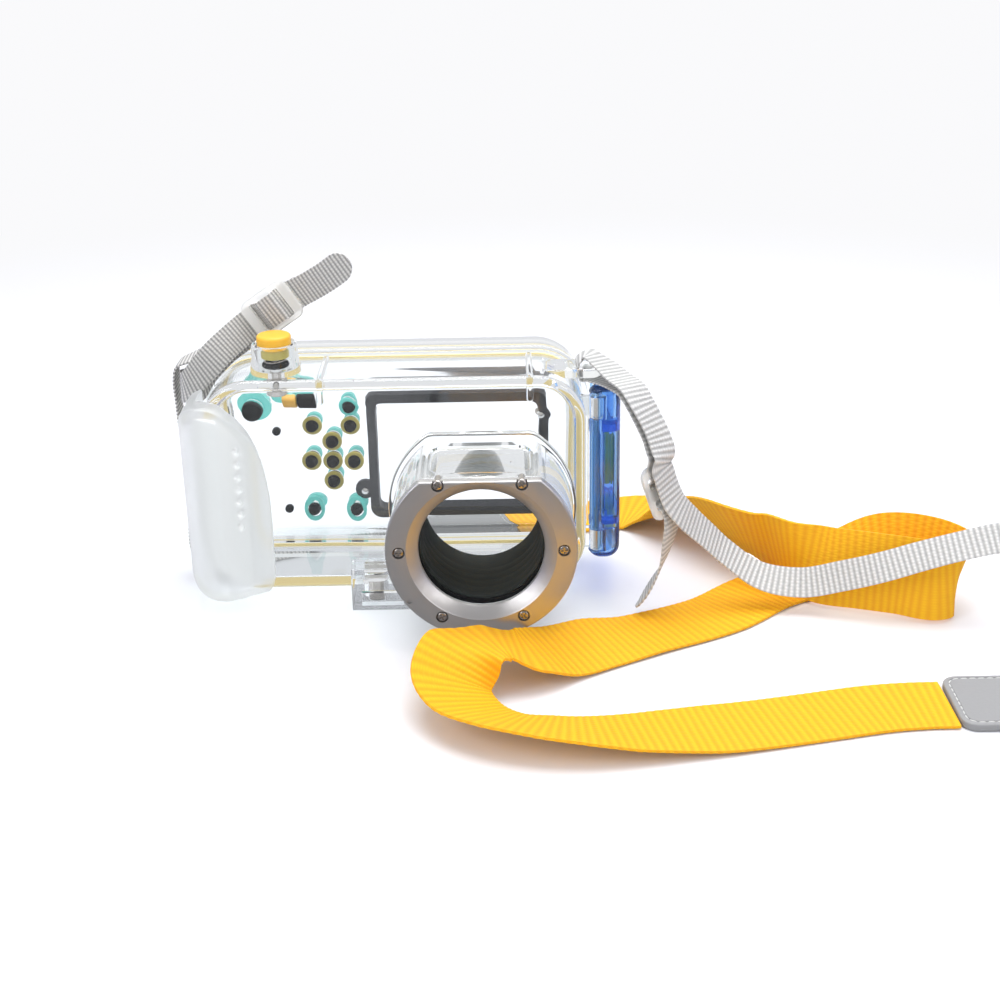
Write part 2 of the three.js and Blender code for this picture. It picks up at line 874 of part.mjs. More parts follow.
addPart('grip', grip(), 'frosted');

// Tripod socket in the base block

function tripodInsert() {
  const outer = rod('z', insertRadius, insertFoot, insertTall, [insertX, insertY], smallSides);
  const bore = rod('z', insertBore, -overrun, insertTall - insertFoot * 2, [insertX, insertY], smallSides);
  return outer.subtract(bore);
}

addPart('tripod_insert', tripodInsert(), 'steel');

// Shutter button: cap, stem with pusher, spring and seal

const shutterSealLow = caseTop + bossFloor + gap;
const springLow = shutterSealLow + shutterSealThick + gap;
const capLow = caseTop + bossTall + capProud - capTall;
const springHigh = capLow - gap;

function shutterCap() {
  const top = capLow + capTall;
  const skin = turned(
    'z',
    [
      [0, capLow],
      [capRadius, capLow],
      [capRadius, top - capTall / 4],
      [capRadius - capTall / 6, top - capTall / 12],
      [capRadius / 2, top],
      [0, top],
    ],
    [shutterX, shutterY],
    smallSides * 2,
  );
  const socket = rod('z', stemRadius + gap, capLow - overrun, capLow + capTall / 2, [shutterX, shutterY]);
  return skin.subtract(socket);
}

function shutterStem() {
  const top = capLow + capTall / 2 - gap;
  const low = caseTop - wall - stemBelow;
  const collarHigh = caseTop - wall - gap;
  return turned(
    'z',
    [
      [0, low],
      [pusherRadius - gap, low],
      [pusherRadius, low + gap],
      [pusherRadius, low + pusherTall],
      [stemRadius, low + pusherTall],
      [stemRadius, collarHigh - gap * 3],
      [stemRadius + 2 * gap, collarHigh - gap * 2],
      [stemRadius + 2 * gap, collarHigh],
      [stemRadius, collarHigh],
      [stemRadius, top],
      [0, top],
    ],
    [shutterX, shutterY],
    smallSides,
  );
}

// The return spring: one tube wound round the stem, with its closed ends on flat cuts.
function springPoints() {
  const rise = springHigh - springLow - 2 * springWire;
  const count = springTurns * springSteps;
  return Array.from({ length: count + 1 }, (_, i) => {
    const angle = (i * round) / springSteps;
    return new THREE.Vector3(
      shutterX + springRadius * Math.cos(angle),
      shutterY + springRadius * Math.sin(angle),
      springLow + springWire + (rise * i) / count,
    );
  });
}

function shutterSpring() {
  const points = springPoints();
  const pitch = (springHigh - springLow - 2 * springWire) / springTurns;
  let least = Infinity;
  points.forEach((a, i) => {
    points.slice(i + springSteps / 2).forEach((b) => {
      least = Math.min(least, a.distanceTo(b) - 2 * springWire);
    });
  });
  console.log(`shutter spring: pitch ${pitch.toFixed(2)} mm, least gap to itself ${least.toFixed(2)} mm`);
  const axis = new THREE.Vector3(0, 0, 1);
  const positions = [];
  const indices = [];
  points.forEach((p) => {
    const out = new THREE.Vector3(p.x - shutterX, p.y - shutterY, 0).normalize();
    for (let s = 0; s < springSides; s += 1) {
      const angle = (s * round) / springSides;
      const place = p
        .clone()
        .addScaledVector(out, springWire * Math.cos(angle))
        .addScaledVector(axis, springWire * Math.sin(angle));
      positions.push(place.x, place.y, place.z);
    }
  });
  stitchRings(indices, points.length, springSides);
  return looseMesh(positions, indices);
}

// Joins rings of points into a closed tube with flat ends.
function stitchRings(indices, rings, sides) {
  for (let r = 0; r < rings - 1; r += 1) {
    for (let s = 0; s < sides; s += 1) {
      const a = r * sides + s;
      const b = r * sides + ((s + 1) % sides);
      indices.push(a, b, a + sides, b, b + sides, a + sides);
    }
  }
  const last = (rings - 1) * sides;
  for (let s = 1; s < sides - 1; s += 1) {
    indices.push(0, s + 1, s);
    indices.push(last, last + s, last + s + 1);
  }
}

function looseMesh(positions, indices) {
  const geometry = new THREE.BufferGeometry();
  geometry.setAttribute('position', new THREE.BufferAttribute(new Float32Array(positions), 3));
  geometry.setIndex(indices);
  return toSolid(geometry);
}

// The seal ring round the stem, on the floor of the boss.
function shutterSeal() {
  const inner = stemRadius + gap;
  const high = shutterSealLow + shutterSealThick;
  return turned(
    'z',
    [
      [inner, shutterSealLow],
      [shutterSealRadius - shutterSealEdge, shutterSealLow],
      [shutterSealRadius, shutterSealLow + shutterSealEdge],
      [shutterSealRadius, high - shutterSealEdge],
      [shutterSealRadius - shutterSealEdge, high],
      [inner, high],
      [inner, shutterSealLow],
    ],
    [shutterX, shutterY],
    smallSides,
  );
}

addPart('shutter_cap', shutterCap(), 'yellow');
addPart('shutter_stem', shutterStem(), 'steel');
addPart('shutter_seal', shutterSeal(), 'rubber');
addPart('shutter_spring', shutterSpring(), 'steel');

// Rear half of the case, which swings on the hinge

const rearInner = caseRear - wall;

function controlHoles() {
  const low = rearInner - overrun;
  const high = caseRear + buttonCollarTall + overrun;
  const buttonHoles = buttons.map(({ x, z }) => rod('y', buttonBore, low, high, [x, z], plungerSides));
  const knobHole = rod('y', controlBore, low, high, [knobX, knobZ]);
  const zoomHole = rod('y', controlBore, low, high, [zoomX, zoomZ]);
  const screwEnd = caseRear - hoodScrewLength + wall / 3;
  const hoodHoles = hoodEars.map((place) =>
    rod('y', hoodScrewShank + gap, screwEnd, caseRear + overrun, place, smallSides / 2),
  );
  return [...buttonHoles, knobHole, zoomHole, ...hoodHoles];
}

function rearShell() {
  const shell = caseSlab(0, rearStart - 2 * rearEdgeRadius, caseRear, rearEdgeRadius);
  const ahead = block(
    caseLeft - 2 * flangeProud,
    caseRight + 2 * flangeProud,
    rearStart - 3 * rearEdgeRadius,
    rearStart,
    caseBottom - 2 * flangeProud,
    caseTop + 2 * flangeProud,
  );
  const flange = caseSlab(flangeProud, rearStart, rearStart + flangeThick);
  const rimEnd = rearStart + rimDeep;
  const deepSpace = caseSlab(-wall, rimEnd, rearInner);
  const mouth = caseSlab(-rimInset, rearStart - overrun, rimEnd + overrun);
  const grooveOut = gasketOuterInset - gap;
  const grooveIn = gasketOuterInset + gasketWidth + gap;
  const grooveDeep = rearStart + gasketThick + 2 * gap;
  const groove = caseSlab(-grooveOut, rearStart - overrun, grooveDeep).subtract(
    caseSlab(-grooveIn, rearStart - 2 * overrun, grooveDeep + overrun),
  );
  const collars = buttons.map(({ x, z }) =>
    rod('y', buttonBore + buttonCollarWall, caseRear - wall / 2, caseRear + buttonCollarTall, [x, z], plungerSides),
  );
  const knobCollars = [[knobX, knobZ], [zoomX, zoomZ]].map((place) =>
    rod('y', controlBore + buttonCollarWall, caseRear - wall / 2, caseRear + buttonCollarTall, place, smallSides),
  );
  const axis = [hingeX, hingeY];
  const low = hingeMidLow + gap;
  const high = hingeMidHigh - gap;
  const knuckle = rod('z', hingeRadius, low, high, axis, smallSides);
  const arm = block(hingeX, caseLeft, rearStart + gap, hingeY + hingeRadius, low, high);
  const catchRib = block(
    caseRight,
    caseRight + catchProud,
    rearStart,
    rearStart + catchThick,
    catchLow,
    catchHigh,
  );
  const pinHole = rod('z', hingeBore, hingeLow, hingeHigh, axis, smallSides);
  const lowRelief = rod('z', hingeRadius + 2 * gap, hingeLow - gap, low, axis, smallSides);
  const highRelief = rod('z', hingeRadius + 2 * gap, high, hingeHigh + gap, axis, smallSides);
  const body = joined(cutBy(shell, ahead), flange, catchRib, ...collars, ...knobCollars);
  const hollow = cutBy(body, deepSpace, mouth, groove, lowRelief, highRelief);
  return cutBy(joined(hollow, knuckle, arm), pinHole, ...controlHoles());
}

function gasket() {
  const outer = caseSlab(-gasketOuterInset, rearStart + gap / 2, rearStart + gap / 2 + gasketThick);
  const inner = caseSlab(
    -gasketOuterInset - gasketWidth,
    rearStart - overrun,
    rearStart + gasketThick + overrun,
  );
  return outer.subtract(inner);
}

addPart('rear_shell', rearShell(), 'clear');
addPart('gasket', gasket(), 'gasket');
addPart('hinge_pin', rod('z', hingePinRadius, hingeLow, hingeHigh, [hingeX, hingeY], smallSides), 'steel');

// Screen hood and its two screws

const hoodFoot = caseRear + gap;

function lcdHood() {
  const top = hoodFoot + hoodDeep;
  const outer = slabY(roundedRect(hoodLeft, hoodRight, hoodLow, hoodHigh, hoodCorner), hoodFoot, top);
  const opening = roundedRect(
    hoodLeft + hoodBar,
    hoodRight - hoodBar,
    hoodLow + hoodBar,
    hoodHigh - hoodBar,
    hoodCorner - hoodLean,
  );
  const window = slabY(opening, hoodFoot - overrun, top + overrun);
  const ears = hoodEars.map(([x, z]) =>
    rod('y', hoodEarRadius, hoodFoot, hoodFoot + hoodEarThick, [x, z], smallSides),
  );
  const holes = hoodEars.map(([x, z]) =>
    joined(
      rod('y', hoodScrewShank + gap, hoodFoot - overrun, top, [x, z], smallSides / 2),
      rod('y', hoodScrewRadius + gap, hoodFoot + hoodEarThick, top + overrun, [x, z], smallSides),
    ),
  );
  const sight = rod(
    'x',
    hoodHigh - hoodLow,
    hoodLeft - overrun,
    hoodRight + overrun,
    [top + hoodHigh - hoodLow - hoodLean, (hoodLow + hoodHigh) / 2],
    roundSides,
  );
  return cutBy(joined(outer, ...ears), window, sight, ...holes);
}

function hoodScrew([x, z]) {
  const seat = hoodFoot + hoodEarThick + gap;
  const head = turned(
    'y',
    [
      [0, seat],
      [hoodScrewRadius, seat],
      [hoodScrewRadius, seat + hoodScrewRadius / 3],
      [hoodScrewRadius / 2, seat + hoodScrewRadius / 1.5],
      [0, seat + hoodScrewRadius / 1.5],
    ],
    [x, z],
    smallSides,
  );
  const shankEnd = seat + hoodScrewRadius / 3 - hoodScrewLength;
  const shank = rod('y', hoodScrewShank, shankEnd, seat + weld, [x, z], smallSides / 2);
  return head.add(shank);
}

addPart('lcd_hood', lcdHood(), 'black');
hoodEars.forEach((place, i) => addPart(`hood_screw_${i + 1}`, hoodScrew(place), 'steel'));

// Rear push buttons: a cap outside and a plunger with a soft tip inside

const buttonSeat = caseRear + buttonCollarTall + buttonTravel + gap;

function buttonCap({ x, z, oval }) {
  const [rx, rz] = oval ? [ovalCapX, ovalCapZ] : [roundCap, roundCap];
  const top = buttonSeat + buttonCapTall;
  const points = [
    [0, buttonSeat],
    [rz, buttonSeat],
    [rz, top - buttonCapTall / 3],
    [rz * capCrownShare, top - buttonCapTall / 12],
    [0, top],
  ].map(([r, a]) => new THREE.Vector2(r, a));
  const geometry = new THREE.LatheGeometry(points, plungerSides);
  geometry.scale(rx / rz, 1, 1);
  geometry.translate(x, 0, z);
  const socketEnd = buttonSeat + buttonCapTall / 3;
  const socket = rod('y', buttonShaft + gap, buttonSeat - overrun, socketEnd, [x, z], plungerSides);
  return toSolid(geometry).subtract(socket);
}

function buttonPlunger({ x, z }) {
  const tipHigh = rearInner - gap;
  const tipLow = tipHigh - buttonTipTall;
  return turned(
    'y',
    [
      [0, tipLow],
      [buttonTipRadius * tipPointShare, tipLow],
      [buttonTipRadius, tipLow + buttonTipTall * tipConeShare],
      [buttonTipRadius, tipHigh],
      [buttonShaft, tipHigh],
      [buttonShaft, buttonSeat + buttonCapTall / 3 - gap],
      [0, buttonSeat + buttonCapTall / 3 - gap],
    ],
    [x, z],
    plungerSides,
  );
}

buttons.forEach((button) => {
  addPart(`${button.name}_cap`, buttonCap(button), 'teal');
  addPart(`${button.name}_plunger`, buttonPlunger(button), 'rubber');
});

// Mode knob with its soft wheel, and the zoom lever with its soft arm

const controlSeat = caseRear + buttonCollarTall + gap;

function modeKnob() {
  const place = [knobX, knobZ];
  const top = controlSeat + knobTall;
  const skin = rod('y', knobRadius, controlSeat, top, place, smallSides * 2, knobRadius - gap);
  const flutes = Array.from({ length: knobFlutes }, (_, i) => {
    const angle = (i * round) / knobFlutes;
    const flute = [knobX + knobRadius * Math.cos(angle), knobZ + knobRadius * Math.sin(angle)];
    return rod('y', knobFluteRadius, controlSeat + knobTall / 4, top + overrun, flute, smallSides / 2);
  });
  const shaftEnd = rearInner - gap - wheelTall / 2;
  const shaft = rod('y', controlShaft, shaftEnd, controlSeat + overrun, place, smallSides);
  return joined(cutBy(skin, ...flutes), shaft);
}

function modeWheel() {
  const high = rearInner - gap;
  const wheel = rod('y', wheelRadius, high - wheelTall, high, [knobX, knobZ], smallSides / 2);
  const socketEnd = high - wheelTall / 2 - gap;
  const socket = rod('y', controlShaft + gap, socketEnd, high + overrun, [knobX, knobZ], smallSides);
  return wheel.subtract(socket);
}

function zoomLever() {
  const outline = roundedRect(
    zoomX - zoomLong / 2,
    zoomX + zoomLong / 2,
    zoomZ - zoomWide / 2,
    zoomZ + zoomWide / 2,
    zoomWide / 2,
  );
  const handle = slabY(outline, controlSeat, controlSeat + zoomTall, zoomTall / 5);
  const shaftEnd = rearInner - gap - wheelTall / 2;
  const shaft = rod('y', controlShaft, shaftEnd, controlSeat + overrun, [zoomX, zoomZ], smallSides);
  return handle.add(shaft);
}

function zoomArm() {
  const high = rearInner - gap;
  const outline = roundedRect(
    zoomX - zoomArmWide / 2 - overrun / 2,
    zoomX - zoomArmWide / 2 + zoomArmLong,
    zoomZ - zoomArmWide / 2 - overrun / 2,
    zoomZ + zoomArmWide / 2 + overrun / 2,
    overrun,
  );
  const arm = slabY(outline, high - wheelTall, high, 0);
  const socketEnd = high - wheelTall / 2 - gap;
  const socket = rod('y', controlShaft + gap, socketEnd, high + overrun, [zoomX, zoomZ], smallSides);
  return arm.subtract(socket);
}

addPart('mode_knob', modeKnob(), 'teal');
addPart('mode_wheel', modeWheel(), 'rubber');
addPart('zoom_lever', zoomLever(), 'teal');
addPart('zoom_arm', zoomArm(), 'rubber');

// Latch: a hollow lever on a long pin, with a hook at its rear and a sliding lock

function latchLever() {
  const plan = roundedRect(latchLeft, latchRight, latchFront, latchRear, latchEndRadius);
  const body = slabZ(plan, latchLow, latchHigh, latchWall);
  const inside = block(
    latchLeft - overrun,
    latchRight - latchWall,
    latchFront + latchWall,
    latchRear - latchHook,
    latchLow + latchWall,
    latchHigh - latchWall,
  );
  const catchRoom = block(
    latchLeft - overrun,
    caseRight + catchProud + 2 * gap,
    latchY + latchKnuckleRadius,
    latchRear + overrun,
    latchLow - overrun,
    latchHigh + overrun,
  );
  const caseRoom = block(
    latchLeft - overrun,
    caseRight + flangeProud + 2 * gap,
    latchRear / 2,
    latchRear + overrun,
    latchLow - overrun,
    latchHigh + overrun,
  );
  const knuckleLow = earLowEnd + knuckleTall + gap;
  const knuckleHigh = earHighStart - gap;
  const knuckle = rod('z', latchKnuckleRadius, knuckleLow, knuckleHigh, [latchX, latchY], smallSides);
  const web = block(
    latchX,
    latchRight - latchWall / 2,
    latchY - latchKnuckleRadius / 2,
    latchY + latchKnuckleRadius / 2,
    knuckleLow,
    knuckleHigh,
  );
  const earRooms = [earLowEnd, earHighStart].map((start) => {
    const low = start - gap;
    const high = start + knuckleTall + gap;
    const eyeRoom = rod('z', latchKnuckleRadius + 2 * gap, low, high, [latchX, latchY]);
    const armRoom = block(latchLeft - overrun, latchX, latchFront - overrun, latchY, low, high);
    return eyeRoom.add(armRoom);
  });
  const pinBore = rod('z', latchBore, latchLow + latchWall, latchHigh - latchWall, [latchX, latchY], smallSides);
  const gripRecess = block(
    latchLeft + latchWall,
    latchRight - latchWall,
    latchFront - overrun,
    latchFront + latchGripDeep,
    latchGripLow,
    latchGripHigh,
  );
  const ribPitch = (latchRight - latchLeft - 2 * latchWall) / latchRibCount;
  const ribs = Array.from({ length: latchRibCount }, (_, i) => {
    const x = latchLeft + latchWall + ribPitch * (i + 0.5);
    return block(
      x - latchRibWidth / 2,
      x + latchRibWidth / 2,
      latchFront + gap,
      latchFront + latchWall,
      latchGripLow - overrun / 2,
      latchGripHigh + overrun / 2,
    );
  });
  const middle = (latchGripLow + latchGripHigh) / 2;
  const lockY = latchRear - latchHook - wall - lockWide;
  const lockSlot = block(
    latchRight - latchWall - overrun,
    latchRight + overrun,
    lockY + wall / 2,
    lockY + lockWide - wall / 2,
    middle - lockSlotTall / 2,
    middle + lockSlotTall / 2,
  );
  const shell = cutBy(body, inside, gripRecess);
  return cutBy(joined(shell, knuckle, web, ...ribs), catchRoom, caseRoom, ...earRooms, pinBore, lockSlot);
}

function latchLock() {
  const middle = (latchGripLow + latchGripHigh) / 2 - lockTravel / 2;
  const lockY = latchRear - latchHook - wall - lockWide;
  const inner = latchRight - latchWall - gap - lockThick;
  const plate = block(
    inner,
    inner + lockThick,
    lockY,
    lockY + lockWide,
    middle - lockTall / 2,
    middle + lockTall / 2,
  );
  const knob = slabX(
    outlineOf([
      [lockY + wall / 2 + gap, middle - lockTall / 2 + gap],
      [lockY + lockWide - wall / 2 - gap, middle - lockTall / 2 + gap],
      [lockY + lockWide - wall / 2 - gap, middle + lockTall / 2 - gap],
      [lockY + wall / 2 + gap, middle + lockTall / 2 - gap],
    ]),
    inner + lockThick - weld,
    latchRight + lockKnobProud,
  );
  return plate.add(knob);
}

addPart('latch_lever', latchLever(), 'blue');
addPart('latch_lock', latchLock(), 'lime');
addPart(
  'lever_pin',
  rod('z', latchPinRadius, latchLow + latchWall + gap, latchHigh - latchWall - gap, [latchX, latchY], smallSides),
  'steel',
);

// Straps. Each station is a point of the webbing's middle line and the direction of its width.
// The routes were laid out by hand.

const wideRoute = [
  [35.8, 60.8, 0.9, -0.25, 0.97, 0],
  [53, 65.5, 0.9, -0.18, 0.98, 0],
  [68, 68.5, 0.9, -0.05, 1, 0],
  [80.5, 67.5, 2.2, 0.05, 1, 0.05],
  [91, 60, 4.6, 0.1, 0.96, -0.2],
  [102.5, 42, 10.5, 0.15, 0.76, -0.62],
  [113, 21.1, 15.1, 0.17, 0.6, -0.78],
  [122.8, 10.9, 14.4, 0.11, 0.46, -0.88],
  [130.3, -0.9, 14.4, 0.1, 0.1, -0.99],
  [138.6, -6.7, 13.6, -0.05, -0.27, -0.96],
  [149.7, -11.1, 13.7, 0.01, -0.25, -0.97],
  [161.5, -16, 13.9, -0.05, -0.2, -0.98],
  [173, -19.5, 13.4, -0.2, -0.31, -0.93],
  [180.5, -16.5, 13.4, -0.3, -0.25, -0.92],
  [181.5, -8, 13.2, -0.3, -0.05, -0.95],
  [176, 0, 13.2, -0.2, -0.2, -0.95],
  [164, 6, 12.6, -0.1, -0.4, -0.91],
  [150, 9, 8.2, 0.1, -0.85, -0.5],
  [137, 8.5, 1.6, 0.5, -0.86, 0],
  [120, -0.5, 0.9, 0.54, -0.84, 0],
  [102.1, -16.6, 0.9, 0.52, -0.85, 0],
  [77.5, -30.2, 1.5, 0.5, -0.86, -0.02],
  [63, -38.6, 3.2, 0.49, -0.86, -0.17],
  [50.4, -46.5, 4.4, 0.5, -0.84, -0.2],
  [40, -53, 8.5, 0.65, -0.72, -0.2],
  [30, -55, 12, 0.9, -0.35, -0.15],
  [22, -60.5, 13, 1, 0.03, -0.05],
  [17, -70.5, 8.5, 0.85, 0.4, -0.3],
  [21.5, -82, 6, 0.74, 0.58, -0.3],
  [31.5, -90.5, 6, 0.6, 0.7, -0.33],
  [44, -94.5, 5.8, 0.3, 0.9, -0.3],
  [56, -95.5, 4.8, 0, 0.95, -0.23],
  [68.2, -94.5, 3.4, -0.13, 0.98, -0.14],
  [81.5, -92.4, 2.4, -0.15, 0.99, -0.06],
  [94.7, -90, 1.6, -0.16, 0.99, 0],
  [107.9, -87, 1.1, -0.17, 0.99, 0],
  [121.2, -83.8, 0.9, -0.15, 0.99, 0],
  [142.4, -79, 0.9, -0.1, 0.99, 0],
  [154, -77.7, 0.9, -0.02, 1, 0],
  [163.4, -77.5, 0.9, 0, 1, 0],
];

const leftRoute = [
  [-15.7, 23, 112.4, -0.56, 0, 0.83],
  [-23.6, 23, 106.8, -0.53, 0, 0.85],
  [-31, 24.2, 102.4, -0.54, 0, 0.84],
  [-36, 25.3, 100, -0.558, 0, 0.83],
  [-37.7, 25.1, 98.9, -0.558, 0, 0.83],
  [-38.8, 23.5, 98.15, -0.558, 0, 0.83],
  [-40, 21.9, 97.35, -0.558, 0, 0.83],
  [-42, 21.8, 96, -0.558, 0, 0.83],
  [-44, 21.9, 94.65, -0.558, 0, 0.83],
  [-45.15, 23.5, 93.9, -0.558, 0, 0.83],
  [-46.3, 25.3, 93.1, -0.558, 0, 0.83],
  [-50.3, 25.3, 90.4, -0.558, 0, 0.83],
  [-55, 21, 87.3, -0.6, 0, 0.8],
  [-60.5, 16, 83.2, -0.65, 0, 0.76],
  [-66.2, 14.2, 77.4, -0.5, 0, 0.86],
  [-70.4, 14.3, 73.1, -0.3, 0, 0.95],
  [-72.8, 16.4, 71.6, 0, 0, 1],
  [-73.3, 18.6, 71.5, 0, 0, 1],
  [-73.4, 21.2, 71.5, 0, 0, 1],
  [-71.8, 22.7, 71.5, 0, 0, 1],
  [-69.2, 22.5, 71.5, 0, 0, 1],
  [-68.3, 19.8, 71.5, 0, 0, 1],
  [-68.1, 17.9, 71.5, 0, 0, 1],
  [-67.3, 16.5, 71.5, 0, 0, 1],
  [-65.9, 15.9, 72.8, -0.1, 0, 1],
  [-63.8, 16.7, 77.8, -0.4, 0, 0.92],
  [-59.2, 19.3, 82.8, -0.6, 0, 0.8],
  [-53.5, 24.4, 86.2, -0.58, 0, 0.81],
  [-47.6, 26.9, 90.6, -0.56, 0, 0.83],
  [-42, 26.7, 94.9, -0.558, 0, 0.83],
  [-36.2, 26.9, 99, -0.558, 0, 0.83],
  [-33.2, 28.1, 100.4, -0.558, 0, 0.83],
  [-32.2, 29.9, 100.8, -0.558, 0, 0.83],
  [-33.4, 31.6, 100, -0.558, 0, 0.83],
  [-38.5, 31.8, 96.4, -0.558, 0, 0.83],
  [-46, 30.2, 91.4, -0.54, 0.1, 0.83],
  [-52.5, 27.8, 88, -0.5, 0.35, 0.78],
  [-58, 25.2, 84.8, -0.38, 0.62, 0.66],
  [-64, 23.9, 81.8, -0.15, 0.95, 0.25],
  [-70, 23.6, 80, 0, 1, 0.05],
  [-74.6, 23.4, 77.9, 0, 1, 0],
  [-75.8, 23.3, 74, 0, 1, 0],
  [-75.7, 23, 66, 0, 1, 0],
  [-75.2, 22.5, 50, 0, 1, 0],
  [-75, 22.2, 28, 0, 1, 0],
  [-75.2, 22, 12, 0, 1, 0],
  [-73.5, 22.3, 3.5, -0.1, 1, 0],
  [-68, 23.8, 1, -0.25, 0.97, 0],
  [-56, 29, 0.8, -0.4, 0.92, 0],
  [-40, 36.5, 0.8, -0.43, 0.9, 0],
  [-24, 44.2, 0.8, -0.3, 0.95, 0],
  [-7.5, 48.5, 0.8, -0.25, 0.97, 0],
];

const rightRoute = [
  [76.4, -13.8, 3.4, 0.25, 0.93, -0.05],
  [80.5, -14.5, 10.4, 0.25, 0.93, 0.2],
  [84.5, -14.5, 18.7, 0.35, 0.9, 0.2],
  [86.7, -14.7, 28.1, 0.52, 0.83, 0.21],
  [87.7, -15.2, 37.5, 0.64, 0.74, 0.21],
  [86.5, -15.1, 40.6, 0.64, 0.74, 0.21],
  [84.9, -14, 41.5, 0.64, 0.74, 0.21],
  [83.35, -12.9, 42.45, 0.64, 0.74, 0.21],
  [82.5, -12.8, 44.7, 0.64, 0.74, 0.21],
  [81.8, -12.9, 47, 0.64, 0.74, 0.21],
  [82.5, -14, 48.7, 0.64, 0.74, 0.21],
  [83.2, -15.1, 50.4, 0.64, 0.74, 0.21],
  [82.3, -15.2, 53.6, 0.64, 0.74, 0.21],
  [82.6, -14.5, 56.6, 0.65, 0.73, 0.2],
  [81.6, -12.2, 61.2, 0.7, 0.7, 0.1],
  [79.2, -9.9, 66.2, 0.72, 0.69, 0.03],
  [76.8, -7.4, 70.8, 0.75, 0.62, 0],
  [74.4, -3.6, 74.1, 0.8, 0.6, 0],
  [71.4, 2.2, 74.6, 0.85, 0.52, 0],
  [67.2, 8.6, 74.4, 0.7, 0.7, 0],
  [62.8, 12.6, 74.3, 0.3, 0.95, 0],
  [59.1, 13.5, 74.4, 0, 1, 0],
  [58.1, 13.5, 76.9, 0, 1, 0],
  [58.6, 13.5, 79.8, 0, 1, 0],
  [61.6, 12.9, 81.8, 0.15, 0.98, 0],
  [66.4, 8.6, 79.9, 0.55, 0.83, 0],
  [70.8, 2.2, 77.6, 0.75, 0.65, 0],
  [75, -4.8, 76, 0.8, 0.6, 0],
  [77.7, -8.8, 72.2, 0.75, 0.62, 0],
  [80.4, -11.1, 67.5, 0.72, 0.69, 0.03],
  [83, -13.6, 62, 0.7, 0.7, 0.1],
  [84.3, -16, 57, 0.65, 0.73, 0.2],
  [83.6, -16.5, 53.6, 0.64, 0.74, 0.21],
  [84.5, -16.4, 50.5, 0.64, 0.74, 0.21],
  [85.9, -16.2, 45.9, 0.64, 0.74, 0.21],
  [87.9, -16.3, 41.2, 0.64, 0.74, 0.21],
  [90.6, -15.6, 37.4, 0.6, 0.77, 0.25],
  [94.6, -13.6, 32.6, 0.55, 0.8, 0.3],
  [99.5, -11.5, 27.2, 0.4, 0.8, 0.42],
  [106, -9.6, 20.2, 0.3, 0.8, 0.5],
  [117.4, -10.5, 12, 0.1, 0.76, 0.64],
  [130.5, -13, 10.4, 0.05, 0.6, 0.8],
  [142.9, -17, 14.4, 0.05, 0.5, 0.86],
  [155, -20.5, 19, 0.05, 0.6, 0.8],
  [166.8, -22.5, 23.6, 0, 0.7, 0.72],
  [178.2, -25, 28, 0, 0.75, 0.66],
  [190, -26, 31, 0, 0.7, 0.7],
  [203, -24.6, 30, 0.1, 0.4, 0.9],
  [219, -24, 20, 0.3, 0.2, 0.92],
  [233, -27, 9.4, 0.25, 0, 0.97],
  [246, -34, 5.9, 0.05, 0, 1],
  [254.5, -48, 5.7, 0, 0, 1],
  [253, -63, 5.7, 0, 0, 1],
  [242, -74, 5.6, 0, 0.2, 0.98],
  [229, -77.3, 3.5, -0.05, 0.8, 0.5],
  [208.4, -77.5, 1.3, 0, 1, 0],
];

// The two grey straps follow their lugs up or down when the case's height is changed.
const leftRouteLug = 71.5;
const rightRouteLug = 75.4;
const leftRise = (leftLugLow + leftLugHigh) / 2 / leftRouteLug;
const rightRise = rightLugLow / rightRouteLug;

// A flat strap swept along its stations, with its long edges chamfered. A squared strap keeps its
// full width; one that isn't may lean in its own plane where it turns round a lug.
function strap(route, rise, width, thick, squared) {
  const steps = route.length - 1;
  const points = route.map(([x, y, z]) => new THREE.Vector3(x, y, z * rise));
  const widths = route.map(([, , , x, y, z]) => new THREE.Vector3(x, y, z).normalize());
  const middle = new THREE.CatmullRomCurve3(points);
  const across = new THREE.CatmullRomCurve3(widths);
  const chamfer = thick * strapChamferShare;
  const section = [
    [width / 2, thick / 2 - chamfer],
    [width / 2 - chamfer, thick / 2],
    [chamfer - width / 2, thick / 2],
    [-width / 2, thick / 2 - chamfer],
    [-width / 2, chamfer - thick / 2],
    [chamfer - width / 2, -thick / 2],
    [width / 2 - chamfer, -thick / 2],
    [width / 2, chamfer - thick / 2],
  ];
  const positions = [];
  const indices = [];
  for (let i = 0; i <= steps; i += 1) {
    const centre = middle.getPoint(i / steps);
    const along = middle.getTangent(i / steps);
    const side = across.getPoint(i / steps);
    if (squared) side.addScaledVector(along, -side.dot(along));
    side.normalize();
    const face = new THREE.Vector3().crossVectors(along, side).normalize();
    section.forEach(([s, t]) => {
      const place = centre.clone().addScaledVector(side, s).addScaledVector(face, t);
      positions.push(place.x, place.y, place.z);
    });
  }
  stitchRings(indices, steps + 1, section.length);
  return looseMesh(positions, indices);
}

function routeLength(route) {
  return new THREE.CatmullRomCurve3(route.map(([x, y, z]) => new THREE.Vector3(x, y, z))).getLength();
}

